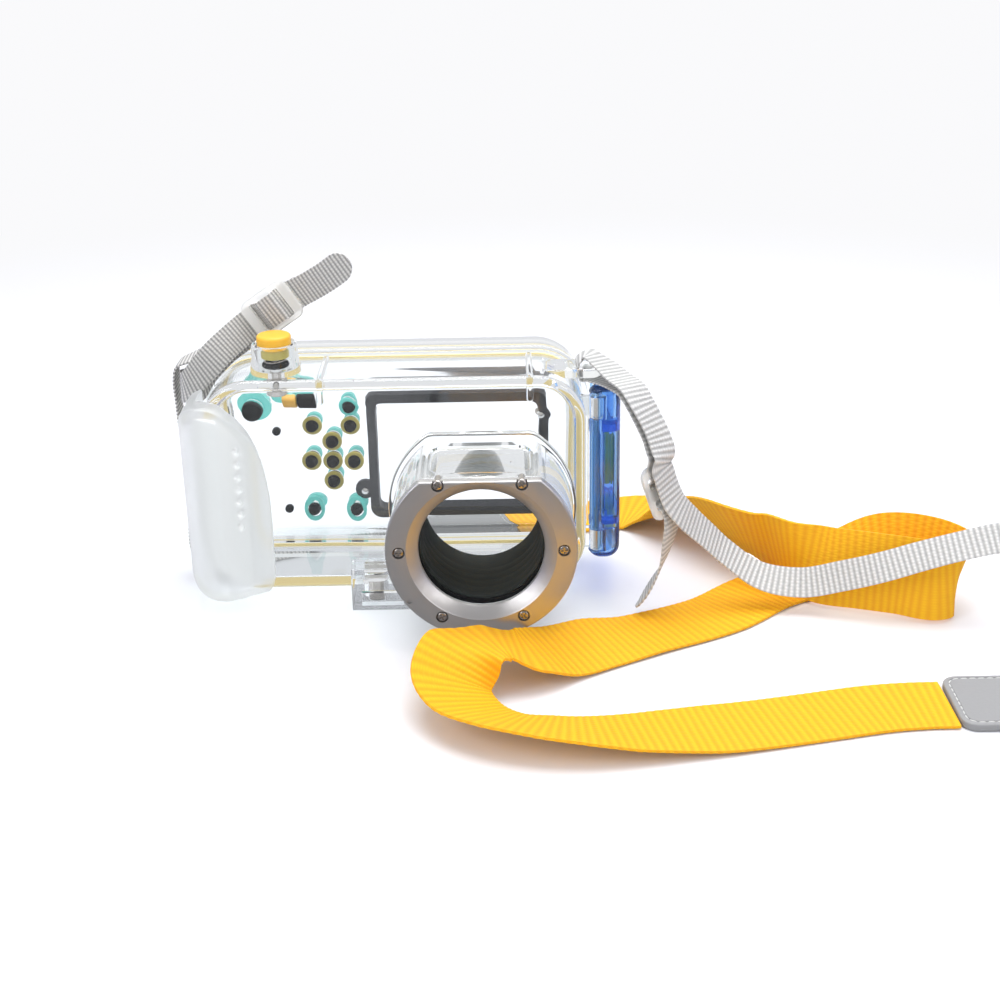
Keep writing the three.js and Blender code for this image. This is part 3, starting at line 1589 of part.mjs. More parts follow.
// A slider: a frame with one bar across its middle. It is drawn flat and then placed.
function slider({ place, along, across }, rise) {
  const half = sliderBar + sliderSlot;
  const frame = slabY(
    roundedRect(-sliderLong / 2, sliderLong / 2, -sliderWide / 2, sliderWide / 2, sliderBar),
    -sliderThick / 2,
    sliderThick / 2,
    sliderThick / 4,
  );
  const slots = [-half, sliderBar].map((low) =>
    block(low, low + sliderSlot, -overrun, overrun, -sliderInner / 2, sliderInner / 2),
  );
  const geometry = toGeometry(cutBy(frame, ...slots));
  const x = new THREE.Vector3(...along).normalize();
  const z = new THREE.Vector3(...across).normalize();
  const y = new THREE.Vector3().crossVectors(z, x);
  const turn = new THREE.Matrix4().makeBasis(x, y, z);
  geometry.applyMatrix4(turn.setPosition(place[0], place[1], place[2] * rise));
  return geometry;
}

// A stitched end patch: two layers of leather closed round the webbing's end.
function patch({ place, along }) {
  const x = new THREE.Vector3(...along).normalize();
  const z = new THREE.Vector3(0, 0, 1);
  const y = new THREE.Vector3().crossVectors(z, x);
  const flat = slabZ(
    roundedRect(-patchLong / 2, patchLong / 2, -patchWide / 2, patchWide / 2, patchWide / 6),
    patchLift,
    patchLift + patchThick,
    patchThick / 4,
  );
  const geometry = toGeometry(flat);
  geometry.applyMatrix4(new THREE.Matrix4().makeBasis(x, y, z).setPosition(...place));
  return geometry;
}

const sliderPlaces = {
  left: { place: [-42, 23.5, 96], along: [0.83, 0, 0.558], across: [-0.558, 0, 0.83] },
  right: { place: [83.7, -14, 45.1], along: [0.32, 0, -0.947], across: [0.64, 0.74, 0.21] },
};
const patchPlaces = {
  left: { place: [14, 54.8, 0], along: [0.97, 0.25, 0] },
  right: { place: [186, -77.5, 0], along: [1, 0, 0] },
};

const lengths = [wideRoute, leftRoute, rightRoute].map((route) => routeLength(route).toFixed(0));
console.log(`strap lengths: ${lengths.join(', ')} mm`);
addPart('strap_wide', strap(wideRoute, 1, wideStrap, wideThick, true), 'webbing');
addPart('strap_left', strap(leftRoute, leftRise, thinStrap, thinThick, false), 'greyWebbing');
addPart('strap_right', strap(rightRoute, rightRise, thinStrap, thinThick, true), 'greyWebbing');
addPart('slider_left', slider(sliderPlaces.left, leftRise), 'slider');
addPart('slider_right', slider(sliderPlaces.right, rightRise), 'slider');
addPart('patch_left', patch(patchPlaces.left), 'leather');
addPart('patch_right', patch(patchPlaces.right), 'leather');

// The origin is the middle of the footprint, measured without the strap and what hangs on it.
const strapPieces = /^(strap|slider|patch)_/;
const rigid = new THREE.Box3();
housing.children
  .filter(({ name }) => !strapPieces.test(name))
  .forEach(({ geometry }) => {
    geometry.computeBoundingBox();
    rigid.union(geometry.boundingBox);
  });
const toOrigin = rigid.getCenter(new THREE.Vector3()).setZ(0).negate();
housing.children.forEach(({ geometry }) => geometry.translate(...toOrigin.toArray()));
const moved = toOrigin.toArray().map((v) => v.toFixed(3));
console.log(`moved by ${moved.join(', ')} mm; lowest point ${rigid.min.z.toFixed(2)}`);

export default housing;
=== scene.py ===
import math

import bmesh
import bpy
from mathutils import Matrix, Vector


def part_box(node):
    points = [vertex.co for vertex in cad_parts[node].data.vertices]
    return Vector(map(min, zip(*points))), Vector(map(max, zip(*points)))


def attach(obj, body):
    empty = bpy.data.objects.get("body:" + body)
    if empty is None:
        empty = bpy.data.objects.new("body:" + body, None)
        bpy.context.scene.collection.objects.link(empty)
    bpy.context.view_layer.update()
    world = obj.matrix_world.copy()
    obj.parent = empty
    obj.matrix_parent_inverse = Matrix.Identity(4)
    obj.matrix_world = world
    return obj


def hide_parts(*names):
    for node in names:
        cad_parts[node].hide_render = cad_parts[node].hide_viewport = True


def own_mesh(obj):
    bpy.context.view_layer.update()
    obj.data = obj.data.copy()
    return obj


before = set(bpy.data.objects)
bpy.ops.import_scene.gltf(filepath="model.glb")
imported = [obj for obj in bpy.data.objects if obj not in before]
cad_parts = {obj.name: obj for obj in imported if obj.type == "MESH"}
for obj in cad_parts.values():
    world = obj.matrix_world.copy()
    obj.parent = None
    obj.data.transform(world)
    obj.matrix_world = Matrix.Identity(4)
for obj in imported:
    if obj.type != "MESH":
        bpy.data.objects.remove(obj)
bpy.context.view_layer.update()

MM = 0.001
ROUND = 2 * math.pi
QUARTER = math.pi / 2

# Places are drawn in millimetres in the CAD source's own axes. The hinge pin of the loaded
# model shows how far the frame has moved them.
HINGE_AXIS = (-69, 30)
pin_low, pin_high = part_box("hinge_pin")
SHIFT = (Vector(pin_low) + Vector(pin_high)) / 2 / MM - Vector((*HINGE_AXIS, 0))
SHIFT.z = 0.0

FINE = 96
SMALL = 32


def world_point(p):
    return (Vector(p) + SHIFT) * MM


# Camera

CAMERA_AT = (35.955, -494.891, 243.112)
CAMERA_PITCH = 0.39594
CAMERA_HEADING = -0.00799
CAMERA_ROLL = 0.020948
CAMERA_LENS = 58.461


def make_camera():
    data = bpy.data.cameras.new("camera")
    data.sensor_width = 36
    data.lens = CAMERA_LENS
    data.clip_start = 0.01
    data.clip_end = 50
    cam = bpy.data.objects.new("camera", data)
    bpy.context.scene.collection.objects.link(cam)
    sh, ch = math.sin(CAMERA_HEADING), math.cos(CAMERA_HEADING)
    sp, cp = math.sin(CAMERA_PITCH), math.cos(CAMERA_PITCH)
    forward = Vector((sh * cp, ch * cp, -sp))
    right = Vector((ch, -sh, 0))
    up = right.cross(forward)
    c, s = math.cos(CAMERA_ROLL), math.sin(CAMERA_ROLL)
    right, up = right * c - up * s, right * s + up * c
    turn = Matrix((right, up, -forward)).transposed().to_4x4()
    cam.matrix_world = Matrix.Translation(world_point(CAMERA_AT)) @ turn
    bpy.context.scene.camera = cam


make_camera()


# Meshes

def new_object(name, verts, faces, smooth=40):
    mesh = bpy.data.meshes.new(name)
    mesh.from_pydata([world_point(v) for v in verts], [], faces)
    mesh.update()
    bm = bmesh.new()
    bm.from_mesh(mesh)
    bmesh.ops.recalc_face_normals(bm, faces=bm.faces)
    bm.to_mesh(mesh)
    bm.free()
    obj = bpy.data.objects.new(name, mesh)
    bpy.context.scene.collection.objects.link(obj)
    shade(mesh, smooth)
    return obj


def shade(mesh, degrees=40):
    mesh.polygons.foreach_set("use_smooth", [True] * len(mesh.polygons))
    mesh.set_sharp_from_angle(angle=math.radians(degrees))


def rings_to_faces(count, sides, closed=False):
    faces = []
    last = count if closed else count - 1
    for r in range(last):
        a, b = r * sides, ((r + 1) % count) * sides
        for s in range(sides):
            t = (s + 1) % sides
            faces.append((a + s, a + t, b + t, b + s))
    if not closed:
        faces.append(tuple(reversed(range(sides))))
        faces.append(tuple(range((count - 1) * sides, count * sides)))
    return faces


def placed(axis, u, v, a):
    return {"x": (a, u, v), "y": (u, a, v), "z": (u, v, a)}[axis]


def rounded(left, right, low, high, radius, steps=10):
    """An outline function: called with a distance, it gives the outline grown by it."""
    def outline(grow=0.0):
        l, r, b, t = left - grow, right + grow, low - grow, high + grow
        c = max(0.02, min(radius + grow, (r - l) / 2 - 0.01, (t - b) / 2 - 0.01))
        points = []
        for k, (x, y) in enumerate(((r - c, b + c), (r - c, t - c), (l + c, t - c), (l + c, b + c))):
            for i in range(steps + 1):
                a = QUARTER * (k - 1 + i / steps)
                points.append((x + c * math.cos(a), y + c * math.sin(a)))
        return points
    return outline


def fixed(points):
    return lambda grow=0.0: points


def slab(axis, outline, a0, a1, edge=0.0, edge_steps=5, low_only=False, high_only=False, name="tool"):
    """An outline pushed along an axis, with rounded edges at both ends or at one."""
    places = [(a0, 0.0), (a1, 0.0)]
    if edge > 0:
        turns = [QUARTER * k / edge_steps for k in range(edge_steps + 1)]
        low = [(a0 + edge * (1 - math.sin(t)), -edge * (1 - math.cos(t))) for t in reversed(turns)]
        high = [(a1 - edge * (1 - math.sin(t)), -edge * (1 - math.cos(t))) for t in turns]
        places = ([(a0, 0.0)] if high_only else low) + ([(a1, 0.0)] if low_only else high)
    verts = []
    sides = 0
    for a, grow in places:
        ring = outline(grow)
        sides = len(ring)
        verts += [placed(axis, u, v, a) for u, v in ring]
    return new_object(name, verts, rings_to_faces(len(places), sides))


def rod(axis, radius, a0, a1, centre, sides=SMALL, edge=0.0):
    def ring(grow=0.0):
        r = radius + grow
        return [
            (centre[0] + r * math.cos(ROUND * i / sides), centre[1] + r * math.sin(ROUND * i / sides))
            for i in range(sides)
        ]
    return slab(axis, ring, a0, a1, edge, 4)


def block(x0, x1, y0, y1, z0, z1):
    square = fixed([(x0, y0), (x1, y0), (x1, y1), (x0, y1)])
    return slab("z", square, z0, z1)


def lathe(axis, profile, centre, name="tool", sides=FINE, closed=False):
    """A turned piece; the profile's points are radius and place along the axis."""
    verts = []
    faces = []
    rows = []
    for r, a in profile:
        if r < 1e-6:
            rows.append([len(verts)])
            verts.append(placed(axis, centre[0], centre[1], a))
        else:
            rows.append(list(range(len(verts), len(verts) + sides)))
            for i in range(sides):
                t = ROUND * i / sides
                verts.append(placed(axis, centre[0] + r * math.cos(t), centre[1] + r * math.sin(t), a))
    pairs = list(zip(rows, rows[1:]))
    if closed:
        pairs.append((rows[-1], rows[0]))
    for low, high in pairs:
        for i in range(sides):
            j = (i + 1) % sides
            if len(low) == 1 and len(high) == 1:
                continue
            if len(low) == 1:
                faces.append((low[0], high[j], high[i]))
            elif len(high) == 1:
                faces.append((low[i], low[j], high[0]))
            else:
                faces.append((low[i], low[j], high[j], high[i]))
    return new_object(name, verts, faces)


def combine(name, first, steps, smooth=35):
    """Adds ("+") and cuts ("-") solids in order, and gives the result as one object."""
    used = [first]
    for sign, tool in steps:
        mod = first.modifiers.new("step", "BOOLEAN")
        mod.operation = "UNION" if sign == "+" else "DIFFERENCE"
        mod.solver = "MANIFOLD"
        mod.object = tool
        used.append(tool)
    graph = bpy.context.evaluated_depsgraph_get()
    mesh = bpy.data.meshes.new_from_object(first.evaluated_get(graph))
    mesh.name = name
    obj = bpy.data.objects.new(name, mesh)
    bpy.context.scene.collection.objects.link(obj)
    for tool in used:
        bpy.data.objects.remove(tool, do_unlink=True)
    shade(mesh, smooth)
    return obj


# Straps. The routes repeat those of the CAD source. A station is a point of the webbing's middle
# line and the direction of its width.

WIDE_ROUTE = [
    (35.8, 60.8, 0.9, -0.25, 0.97, 0), (53, 65.5, 0.9, -0.18, 0.98, 0), (68, 68.5, 0.9, -0.05, 1, 0),
    (80.5, 67.5, 2.2, 0.05, 1, 0.05), (91, 60, 4.6, 0.1, 0.96, -0.2),
    (102.5, 42, 10.5, 0.15, 0.76, -0.62), (113, 21.1, 15.1, 0.17, 0.6, -0.78),
    (122.8, 10.9, 14.4, 0.11, 0.46, -0.88), (130.3, -0.9, 14.4, 0.1, 0.1, -0.99),
    (138.6, -6.7, 13.6, -0.05, -0.27, -0.96), (149.7, -11.1, 13.7, 0.01, -0.25, -0.97),
    (161.5, -16, 13.9, -0.05, -0.2, -0.98), (173, -19.5, 13.4, -0.2, -0.31, -0.93),
    (180.5, -16.5, 13.4, -0.3, -0.25, -0.92), (181.5, -8, 13.2, -0.3, -0.05, -0.95),
    (176, 0, 13.2, -0.2, -0.2, -0.95), (164, 6, 12.6, -0.1, -0.4, -0.91),
    (150, 9, 8.2, 0.1, -0.85, -0.5), (137, 8.5, 1.6, 0.5, -0.86, 0), (120, -0.5, 0.9, 0.54, -0.84, 0),
    (102.1, -16.6, 0.9, 0.52, -0.85, 0), (77.5, -30.2, 1.5, 0.5, -0.86, -0.02),
    (63, -38.6, 3.2, 0.49, -0.86, -0.17), (50.4, -46.5, 4.4, 0.5, -0.84, -0.2),
    (40, -53, 8.5, 0.65, -0.72, -0.2), (30, -55, 12, 0.9, -0.35, -0.15), (22, -60.5, 13, 1, 0.03, -0.05),
    (17, -70.5, 8.5, 0.85, 0.4, -0.3), (21.5, -82, 6, 0.74, 0.58, -0.3),
    (31.5, -90.5, 6, 0.6, 0.7, -0.33), (44, -94.5, 5.8, 0.3, 0.9, -0.3),
    (56, -95.5, 4.8, 0, 0.95, -0.23), (68.2, -94.5, 3.4, -0.13, 0.98, -0.14),
    (81.5, -92.4, 2.4, -0.15, 0.99, -0.06), (94.7, -90, 1.6, -0.16, 0.99, 0),
    (107.9, -87, 1.1, -0.17, 0.99, 0), (121.2, -83.8, 0.9, -0.15, 0.99, 0),
    (142.4, -79, 0.9, -0.1, 0.99, 0), (154, -77.7, 0.9, -0.02, 1, 0), (163.4, -77.5, 0.9, 0, 1, 0),
]

LEFT_ROUTE = [
    (-15.7, 23, 112.4, -0.56, 0, 0.83), (-23.6, 23, 106.8, -0.53, 0, 0.85),
    (-31, 24.2, 102.4, -0.54, 0, 0.84), (-36, 25.3, 100, -0.558, 0, 0.83),
    (-37.7, 25.1, 98.9, -0.558, 0, 0.83), (-38.8, 23.5, 98.15, -0.558, 0, 0.83),
    (-40, 21.9, 97.35, -0.558, 0, 0.83), (-42, 21.8, 96, -0.558, 0, 0.83),
    (-44, 21.9, 94.65, -0.558, 0, 0.83), (-45.15, 23.5, 93.9, -0.558, 0, 0.83),
    (-46.3, 25.3, 93.1, -0.558, 0, 0.83), (-50.3, 25.3, 90.4, -0.558, 0, 0.83),
    (-55, 21, 87.3, -0.6, 0, 0.8), (-60.5, 16, 83.2, -0.65, 0, 0.76), (-66.2, 14.2, 77.4, -0.5, 0, 0.86),
    (-70.4, 14.3, 73.1, -0.3, 0, 0.95), (-72.8, 16.4, 71.6, 0, 0, 1), (-73.3, 18.6, 71.5, 0, 0, 1),
    (-73.4, 21.2, 71.5, 0, 0, 1), (-71.8, 22.7, 71.5, 0, 0, 1), (-69.2, 22.5, 71.5, 0, 0, 1),
    (-68.3, 19.8, 71.5, 0, 0, 1), (-68.1, 17.9, 71.5, 0, 0, 1), (-67.3, 16.5, 71.5, 0, 0, 1),
    (-65.9, 15.9, 72.8, -0.1, 0, 1), (-63.8, 16.7, 77.8, -0.4, 0, 0.92),
    (-59.2, 19.3, 82.8, -0.6, 0, 0.8), (-53.5, 24.4, 86.2, -0.58, 0, 0.81),
    (-47.6, 26.9, 90.6, -0.56, 0, 0.83), (-42, 26.7, 94.9, -0.558, 0, 0.83),
    (-36.2, 26.9, 99, -0.558, 0, 0.83), (-33.2, 28.1, 100.4, -0.558, 0, 0.83),
    (-32.2, 29.9, 100.8, -0.558, 0, 0.83), (-33.4, 31.6, 100, -0.558, 0, 0.83),
    (-38.5, 31.8, 96.4, -0.558, 0, 0.83), (-46, 30.2, 91.4, -0.54, 0.1, 0.83),
    (-52.5, 27.8, 88, -0.5, 0.35, 0.78), (-58, 25.2, 84.8, -0.38, 0.62, 0.66),
    (-64, 23.9, 81.8, -0.15, 0.95, 0.25), (-70, 23.6, 80, 0, 1, 0.05), (-74.6, 23.4, 77.9, 0, 1, 0),
    (-75.8, 23.3, 74, 0, 1, 0), (-75.7, 23, 66, 0, 1, 0), (-75.2, 22.5, 50, 0, 1, 0),
    (-75, 22.2, 28, 0, 1, 0), (-75.2, 22, 12, 0, 1, 0), (-73.5, 22.3, 3.5, -0.1, 1, 0),
    (-68, 23.8, 1, -0.25, 0.97, 0), (-56, 29, 0.8, -0.4, 0.92, 0), (-40, 36.5, 0.8, -0.43, 0.9, 0),
    (-24, 44.2, 0.8, -0.3, 0.95, 0), (-7.5, 48.5, 0.8, -0.25, 0.97, 0),
]

RIGHT_ROUTE = [
    (76.4, -13.8, 3.4, 0.25, 0.93, -0.05), (80.5, -14.5, 10.4, 0.25, 0.93, 0.2),
    (84.5, -14.5, 18.7, 0.35, 0.9, 0.2), (86.7, -14.7, 28.1, 0.52, 0.83, 0.21),
    (87.7, -15.2, 37.5, 0.64, 0.74, 0.21), (86.5, -15.1, 40.6, 0.64, 0.74, 0.21),
    (84.9, -14, 41.5, 0.64, 0.74, 0.21), (83.35, -12.9, 42.45, 0.64, 0.74, 0.21),
    (82.5, -12.8, 44.7, 0.64, 0.74, 0.21), (81.8, -12.9, 47, 0.64, 0.74, 0.21),
    (82.5, -14, 48.7, 0.64, 0.74, 0.21), (83.2, -15.1, 50.4, 0.64, 0.74, 0.21),
    (82.3, -15.2, 53.6, 0.64, 0.74, 0.21), (82.6, -14.5, 56.6, 0.65, 0.73, 0.2),
    (81.6, -12.2, 61.2, 0.7, 0.7, 0.1), (79.2, -9.9, 66.2, 0.72, 0.69, 0.03),
    (76.8, -7.4, 70.8, 0.75, 0.62, 0), (74.4, -3.6, 74.1, 0.8, 0.6, 0), (71.4, 2.2, 74.6, 0.85, 0.52, 0),
    (67.2, 8.6, 74.4, 0.7, 0.7, 0), (62.8, 12.6, 74.3, 0.3, 0.95, 0), (59.1, 13.5, 74.4, 0, 1, 0),
    (58.1, 13.5, 76.9, 0, 1, 0), (58.6, 13.5, 79.8, 0, 1, 0), (61.6, 12.9, 81.8, 0.15, 0.98, 0),
    (66.4, 8.6, 79.9, 0.55, 0.83, 0), (70.8, 2.2, 77.6, 0.75, 0.65, 0), (75, -4.8, 76, 0.8, 0.6, 0),
    (77.7, -8.8, 72.2, 0.75, 0.62, 0), (80.4, -11.1, 67.5, 0.72, 0.69, 0.03),
    (83, -13.6, 62, 0.7, 0.7, 0.1), (84.3, -16, 57, 0.65, 0.73, 0.2),
    (83.6, -16.5, 53.6, 0.64, 0.74, 0.21), (84.5, -16.4, 50.5, 0.64, 0.74, 0.21),
    (85.9, -16.2, 45.9, 0.64, 0.74, 0.21), (87.9, -16.3, 41.2, 0.64, 0.74, 0.21),
    (90.6, -15.6, 37.4, 0.6, 0.77, 0.25), (94.6, -13.6, 32.6, 0.55, 0.8, 0.3),
    (99.5, -11.5, 27.2, 0.4, 0.8, 0.42), (106, -9.6, 20.2, 0.3, 0.8, 0.5),
    (117.4, -10.5, 12, 0.1, 0.76, 0.64), (130.5, -13, 10.4, 0.05, 0.6, 0.8),
    (142.9, -17, 14.4, 0.05, 0.5, 0.86), (155, -20.5, 19, 0.05, 0.6, 0.8),
    (166.8, -22.5, 23.6, 0, 0.7, 0.72), (178.2, -25, 28, 0, 0.75, 0.66), (190, -26, 31, 0, 0.7, 0.7),
    (203, -24.6, 30, 0.1, 0.4, 0.9), (219, -24, 20, 0.3, 0.2, 0.92), (233, -27, 9.4, 0.25, 0, 0.97),
    (246, -34, 5.9, 0.05, 0, 1), (254.5, -48, 5.7, 0, 0, 1), (253, -63, 5.7, 0, 0, 1),
    (242, -74, 5.6, 0, 0.2, 0.98), (229, -77.3, 3.5, -0.05, 0.8, 0.5), (208.4, -77.5, 1.3, 0, 1, 0),
]


def catmull(points, i, t):
    """One point of the centripetal curve through the points, in segment i."""
    n = len(points)
    p1, p2 = points[i], points[i + 1]
    p0 = points[i - 1] if i > 0 else p1 * 2 - p2
    p3 = points[i + 2] if i + 2 < n else p2 * 2 - p1
    d0, d1, d2 = (max((b - a).length, 0.0) ** 0.5 for a, b in ((p0, p1), (p1, p2), (p2, p3)))
    if d1 < 1e-4:
        d1 = 1.0
    if d0 < 1e-4:
        d0 = d1
    if d2 < 1e-4:
        d2 = d1
    t1 = ((p1 - p0) / d0 - (p2 - p0) / (d0 + d1) + (p2 - p1) / d1) * d1
    t2 = ((p2 - p1) / d1 - (p3 - p1) / (d1 + d2) + (p3 - p2) / d2) * d1
    return p1 + t1 * t + (p1 * -3 + p2 * 3 - t1 * 2 - t2) * t ** 2 + (p1 * 2 - p2 * 2 + t1 + t2) * t ** 3


def sample_route(route, spacing, squared):
    """Even steps along a route: distance, middle, width direction and face direction."""
    points = [Vector(r[:3]) for r in route]
    widths = [Vector(r[3:]).normalized() for r in route]
    fine = []
    sub = 24
    for i in range(len(route) - 1):
        for k in range(sub):
            fine.append((catmull(points, i, k / sub), catmull(widths, i, k / sub)))
    fine.append((points[-1], widths[-1]))
    runs = [0.0]
    for a, b in zip(fine, fine[1:]):
        runs.append(runs[-1] + (b[0] - a[0]).length)
    count = max(2, round(runs[-1] / spacing))
    out = []
    j = 0
    for k in range(count + 1):
        at = runs[-1] * k / count
        while j < len(runs) - 2 and runs[j + 1] < at:
            j += 1
        span = max(runs[j + 1] - runs[j], 1e-9)
        f = (at - runs[j]) / span
        out.append([at, fine[j][0].lerp(fine[j + 1][0], f), fine[j][1].lerp(fine[j + 1][1], f)])
    for k, row in enumerate(out):
        along = (out[min(k + 1, count)][1] - out[max(k - 1, 0)][1]).normalized()
        side = row[2]
        if squared:
            side = side - along * side.dot(along)
        side = side.normalized()
        row[2] = side
        row.append(along.cross(side).normalized())
    return out


def webbing(name, route, width, thick, pitch, rib, squared=True, rounded_ends=(0.0, 0.0), columns=8):
    """A woven strap with real cross ribs; it stores the run and the side as point values."""
    rows = sample_route(route, pitch / 5, squared)
    total = rows[-1][0]
    verts, runs, sides = [], [], []
    section = []
    for k in range(columns + 1):
        section.append((-1 + 2 * k / columns, 1))
    for k in range(columns + 1):
        section.append((1 - 2 * k / columns, -1))
    for at, middle, side, face in rows:
        share = 1.0
        for reach, from_end in ((rounded_ends[0], at), (rounded_ends[1], total - at)):
            if reach > 0 and from_end < reach:
                share = min(share, math.sqrt(max(0.0, 1 - (1 - from_end / reach) ** 2)))
        share = max(share, 0.12)
        wave = math.cos(ROUND * at / pitch)
        for s, up in section:
            edge = min(1.0, (1 - abs(s)) * 3 + 0.75)
            high = thick / 2 * edge * (1 - rib + rib * wave * (1 if up > 0 else -1) * 0.5)
            verts.append(middle + side * (s * width / 2 * share) + face * (up * high))
            runs.append(at)
            sides.append(s * share * width / 2)
    obj = new_object(name, verts, rings_to_faces(len(rows), len(section)), 60)
    for key, values in (("run", runs), ("side", sides)):
        layer = obj.data.attributes.new(key, "FLOAT", "POINT")
        layer.data.foreach_set("value", values)
    path = [world_point(row[1]) for row in rows]
    return obj, path, total * MM


# Shader groups and materials

def group(name, inputs, outputs):
    tree = bpy.data.node_groups.new(name, "ShaderNodeTree")
    for label, kind, value in inputs:
        socket = tree.interface.new_socket(name=label, in_out="INPUT", socket_type=kind)
        if value is not None:
            socket.default_value = value
    for label, kind in outputs:
        tree.interface.new_socket(name=label, in_out="OUTPUT", socket_type=kind)
    return tree, tree.nodes.new("NodeGroupInput"), tree.nodes.new("NodeGroupOutput")


FLOAT = "NodeSocketFloat"
VECTOR = "NodeSocketVector"


def math_node(tree, operation, a, b=None, clamp=False, c=None):
    made = tree.nodes.new("ShaderNodeMath")
    made.operation = operation
    made.use_clamp = clamp
    for index, value in ((0, a), (1, b), (2, c)):
        if value is None:
            continue
        if isinstance(value, (int, float)):
            made.inputs[index].default_value = value
        else:
            tree.links.new(value, made.inputs[index])
    return made.outputs[0]


def wear_group():
    """Fine handling marks: a roughness change and a soft bump."""
    tree, start, end = group(
        "surface_wear",
        [("Scale", FLOAT, 60.0), ("Spread", FLOAT, 0.1), ("Depth", FLOAT, 0.1)],
        [("Change", FLOAT), ("Normal", VECTOR)],
    )
    where = tree.nodes.new("ShaderNodeTexCoord")
    broad = tree.nodes.new("ShaderNodeTexNoise")
    broad.inputs["Detail"].default_value = 5.0
    broad.inputs["Roughness"].default_value = 0.6
    tree.links.new(where.outputs["Object"], broad.inputs["Vector"])
    tree.links.new(start.outputs["Scale"], broad.inputs["Scale"])
    middle = math_node(tree, "SUBTRACT", broad.outputs["Fac"], 0.5)
    change = math_node(tree, "MULTIPLY", middle, start.outputs["Spread"])
    bump = tree.nodes.new("ShaderNodeBump")
    bump.inputs["Distance"].default_value = 0.0002
    tree.links.new(start.outputs["Depth"], bump.inputs["Strength"])
    tree.links.new(broad.outputs["Fac"], bump.inputs["Height"])
    tree.links.new(change, end.inputs["Change"])
    tree.links.new(bump.outputs["Normal"], end.inputs["Normal"])
    return tree


def weave_group():
    """Woven yarns from the strap's own run and side: a bump, and a shade value that is the weave's pattern
    together with painted shade in the grooves between ribs and yarns.
    """
    tree, start, end = group(
        "webbing_weave",
        [("Run", FLOAT, 0.0), ("Side", FLOAT, 0.0), ("Rib pitch", FLOAT, 1.6), ("Yarn pitch", FLOAT, 0.9),
         ("Depth", FLOAT, 0.6)],
        [("Shade", FLOAT), ("Normal", VECTOR)],
    )
    rib_count = math_node(tree, "DIVIDE", start.outputs["Run"], start.outputs["Rib pitch"])
    rib = math_node(tree, "MULTIPLY", rib_count, ROUND)
    yarn_count = math_node(tree, "DIVIDE", start.outputs["Side"], start.outputs["Yarn pitch"])
    yarn = math_node(tree, "MULTIPLY", yarn_count, ROUND)
    rib_wave = math_node(tree, "MULTIPLY_ADD", math_node(tree, "COSINE", rib), 0.5, c=0.5)
    yarn_wave = math_node(tree, "MULTIPLY_ADD", math_node(tree, "COSINE", yarn), 0.5, c=0.5)
    rib_sine = math_node(tree, "SINE", math_node(tree, "MULTIPLY", rib, 0.5))
    yarn_sine = math_node(tree, "SINE", math_node(tree, "MULTIPLY", yarn, 0.5))
    cross = math_node(tree, "MULTIPLY", rib_sine, yarn_sine)
    yarn_shade = math_node(tree, "MULTIPLY_ADD", yarn_wave, 0.35, c=0.65)
    ribs = math_node(tree, "MULTIPLY", rib_wave, yarn_shade)
    where = tree.nodes.new("ShaderNodeTexCoord")
    fuzz = tree.nodes.new("ShaderNodeTexNoise")
    fuzz.inputs["Scale"].default_value = 1400.0
    fuzz.inputs["Detail"].default_value = 2.0
    tree.links.new(where.outputs["Object"], fuzz.inputs["Vector"])
    rough = math_node(tree, "MULTIPLY", fuzz.outputs["Fac"], 0.35)
    crossing = math_node(tree, "MULTIPLY", cross, 0.3)
    height = math_node(tree, "ADD", math_node(tree, "ADD", ribs, rough), crossing)
    bump = tree.nodes.new("ShaderNodeBump")
    bump.inputs["Distance"].default_value = 0.00025
    tree.links.new(start.outputs["Depth"], bump.inputs["Strength"])
    tree.links.new(height, bump.inputs["Height"])
    # The colour value follows the height: it is darker in the grooves, which is painted shade there, on top
    # of the weave's own pattern.
    weave_and_painted_shade = math_node(tree, "ADD", ribs, math_node(tree, "MULTIPLY", rough, 0.5), True)
    tree.links.new(weave_and_painted_shade, end.inputs["Shade"])
    tree.links.new(bump.outputs["Normal"], end.inputs["Normal"])
    return tree


def end_long_paths(mat, depth, color=(0.93, 0.945, 0.97)):
    """A path that has crossed many clear walls ends in plain light instead of black."""
    tree = mat.node_tree
    out = tree.nodes["Material Output"]
    before = out.inputs["Surface"].links[0].from_socket
    path = tree.nodes.new("ShaderNodeLightPath")
    late = math_node(tree, "GREATER_THAN", path.outputs["Ray Depth"], depth)
    glow = tree.nodes.new("ShaderNodeEmission")
    glow.inputs["Color"].default_value = (*color, 1)
    glow.inputs["Strength"].default_value = 0.85
    mix = tree.nodes.new("ShaderNodeMixShader")
    tree.links.new(late, mix.inputs[0])
    tree.links.new(before, mix.inputs[1])
    tree.links.new(glow.outputs[0], mix.inputs[2])
    tree.links.new(mix.outputs[0], out.inputs["Surface"])


WEAR = wear_group()
WEAVE = weave_group()


def base_material(name, color, roughness=0.5, metallic=0.0, wear=(60.0, 0.1, 0.1), **extra):
    mat = bpy.data.materials.new(name)
    mat.use_nodes = True
    tree = mat.node_tree
    surface = tree.nodes["Principled BSDF"]
    surface.inputs["Base Color"].default_value = (*color, 1)
    surface.inputs["Roughness"].default_value = roughness
    surface.inputs["Metallic"].default_value = metallic
    for key, value in extra.items():
        surface.inputs[key.replace("_", " ")].default_value = value
    if wear:
        marks = tree.nodes.new("ShaderNodeGroup")
        marks.node_tree = WEAR
        for label, value in zip(("Scale", "Spread", "Depth"), wear):
            marks.inputs[label].default_value = value
        total = math_node(tree, "ADD", marks.outputs["Change"], roughness, True)
        tree.links.new(total, surface.inputs["Roughness"])
        tree.links.new(marks.outputs["Normal"], surface.inputs["Normal"])
    return mat


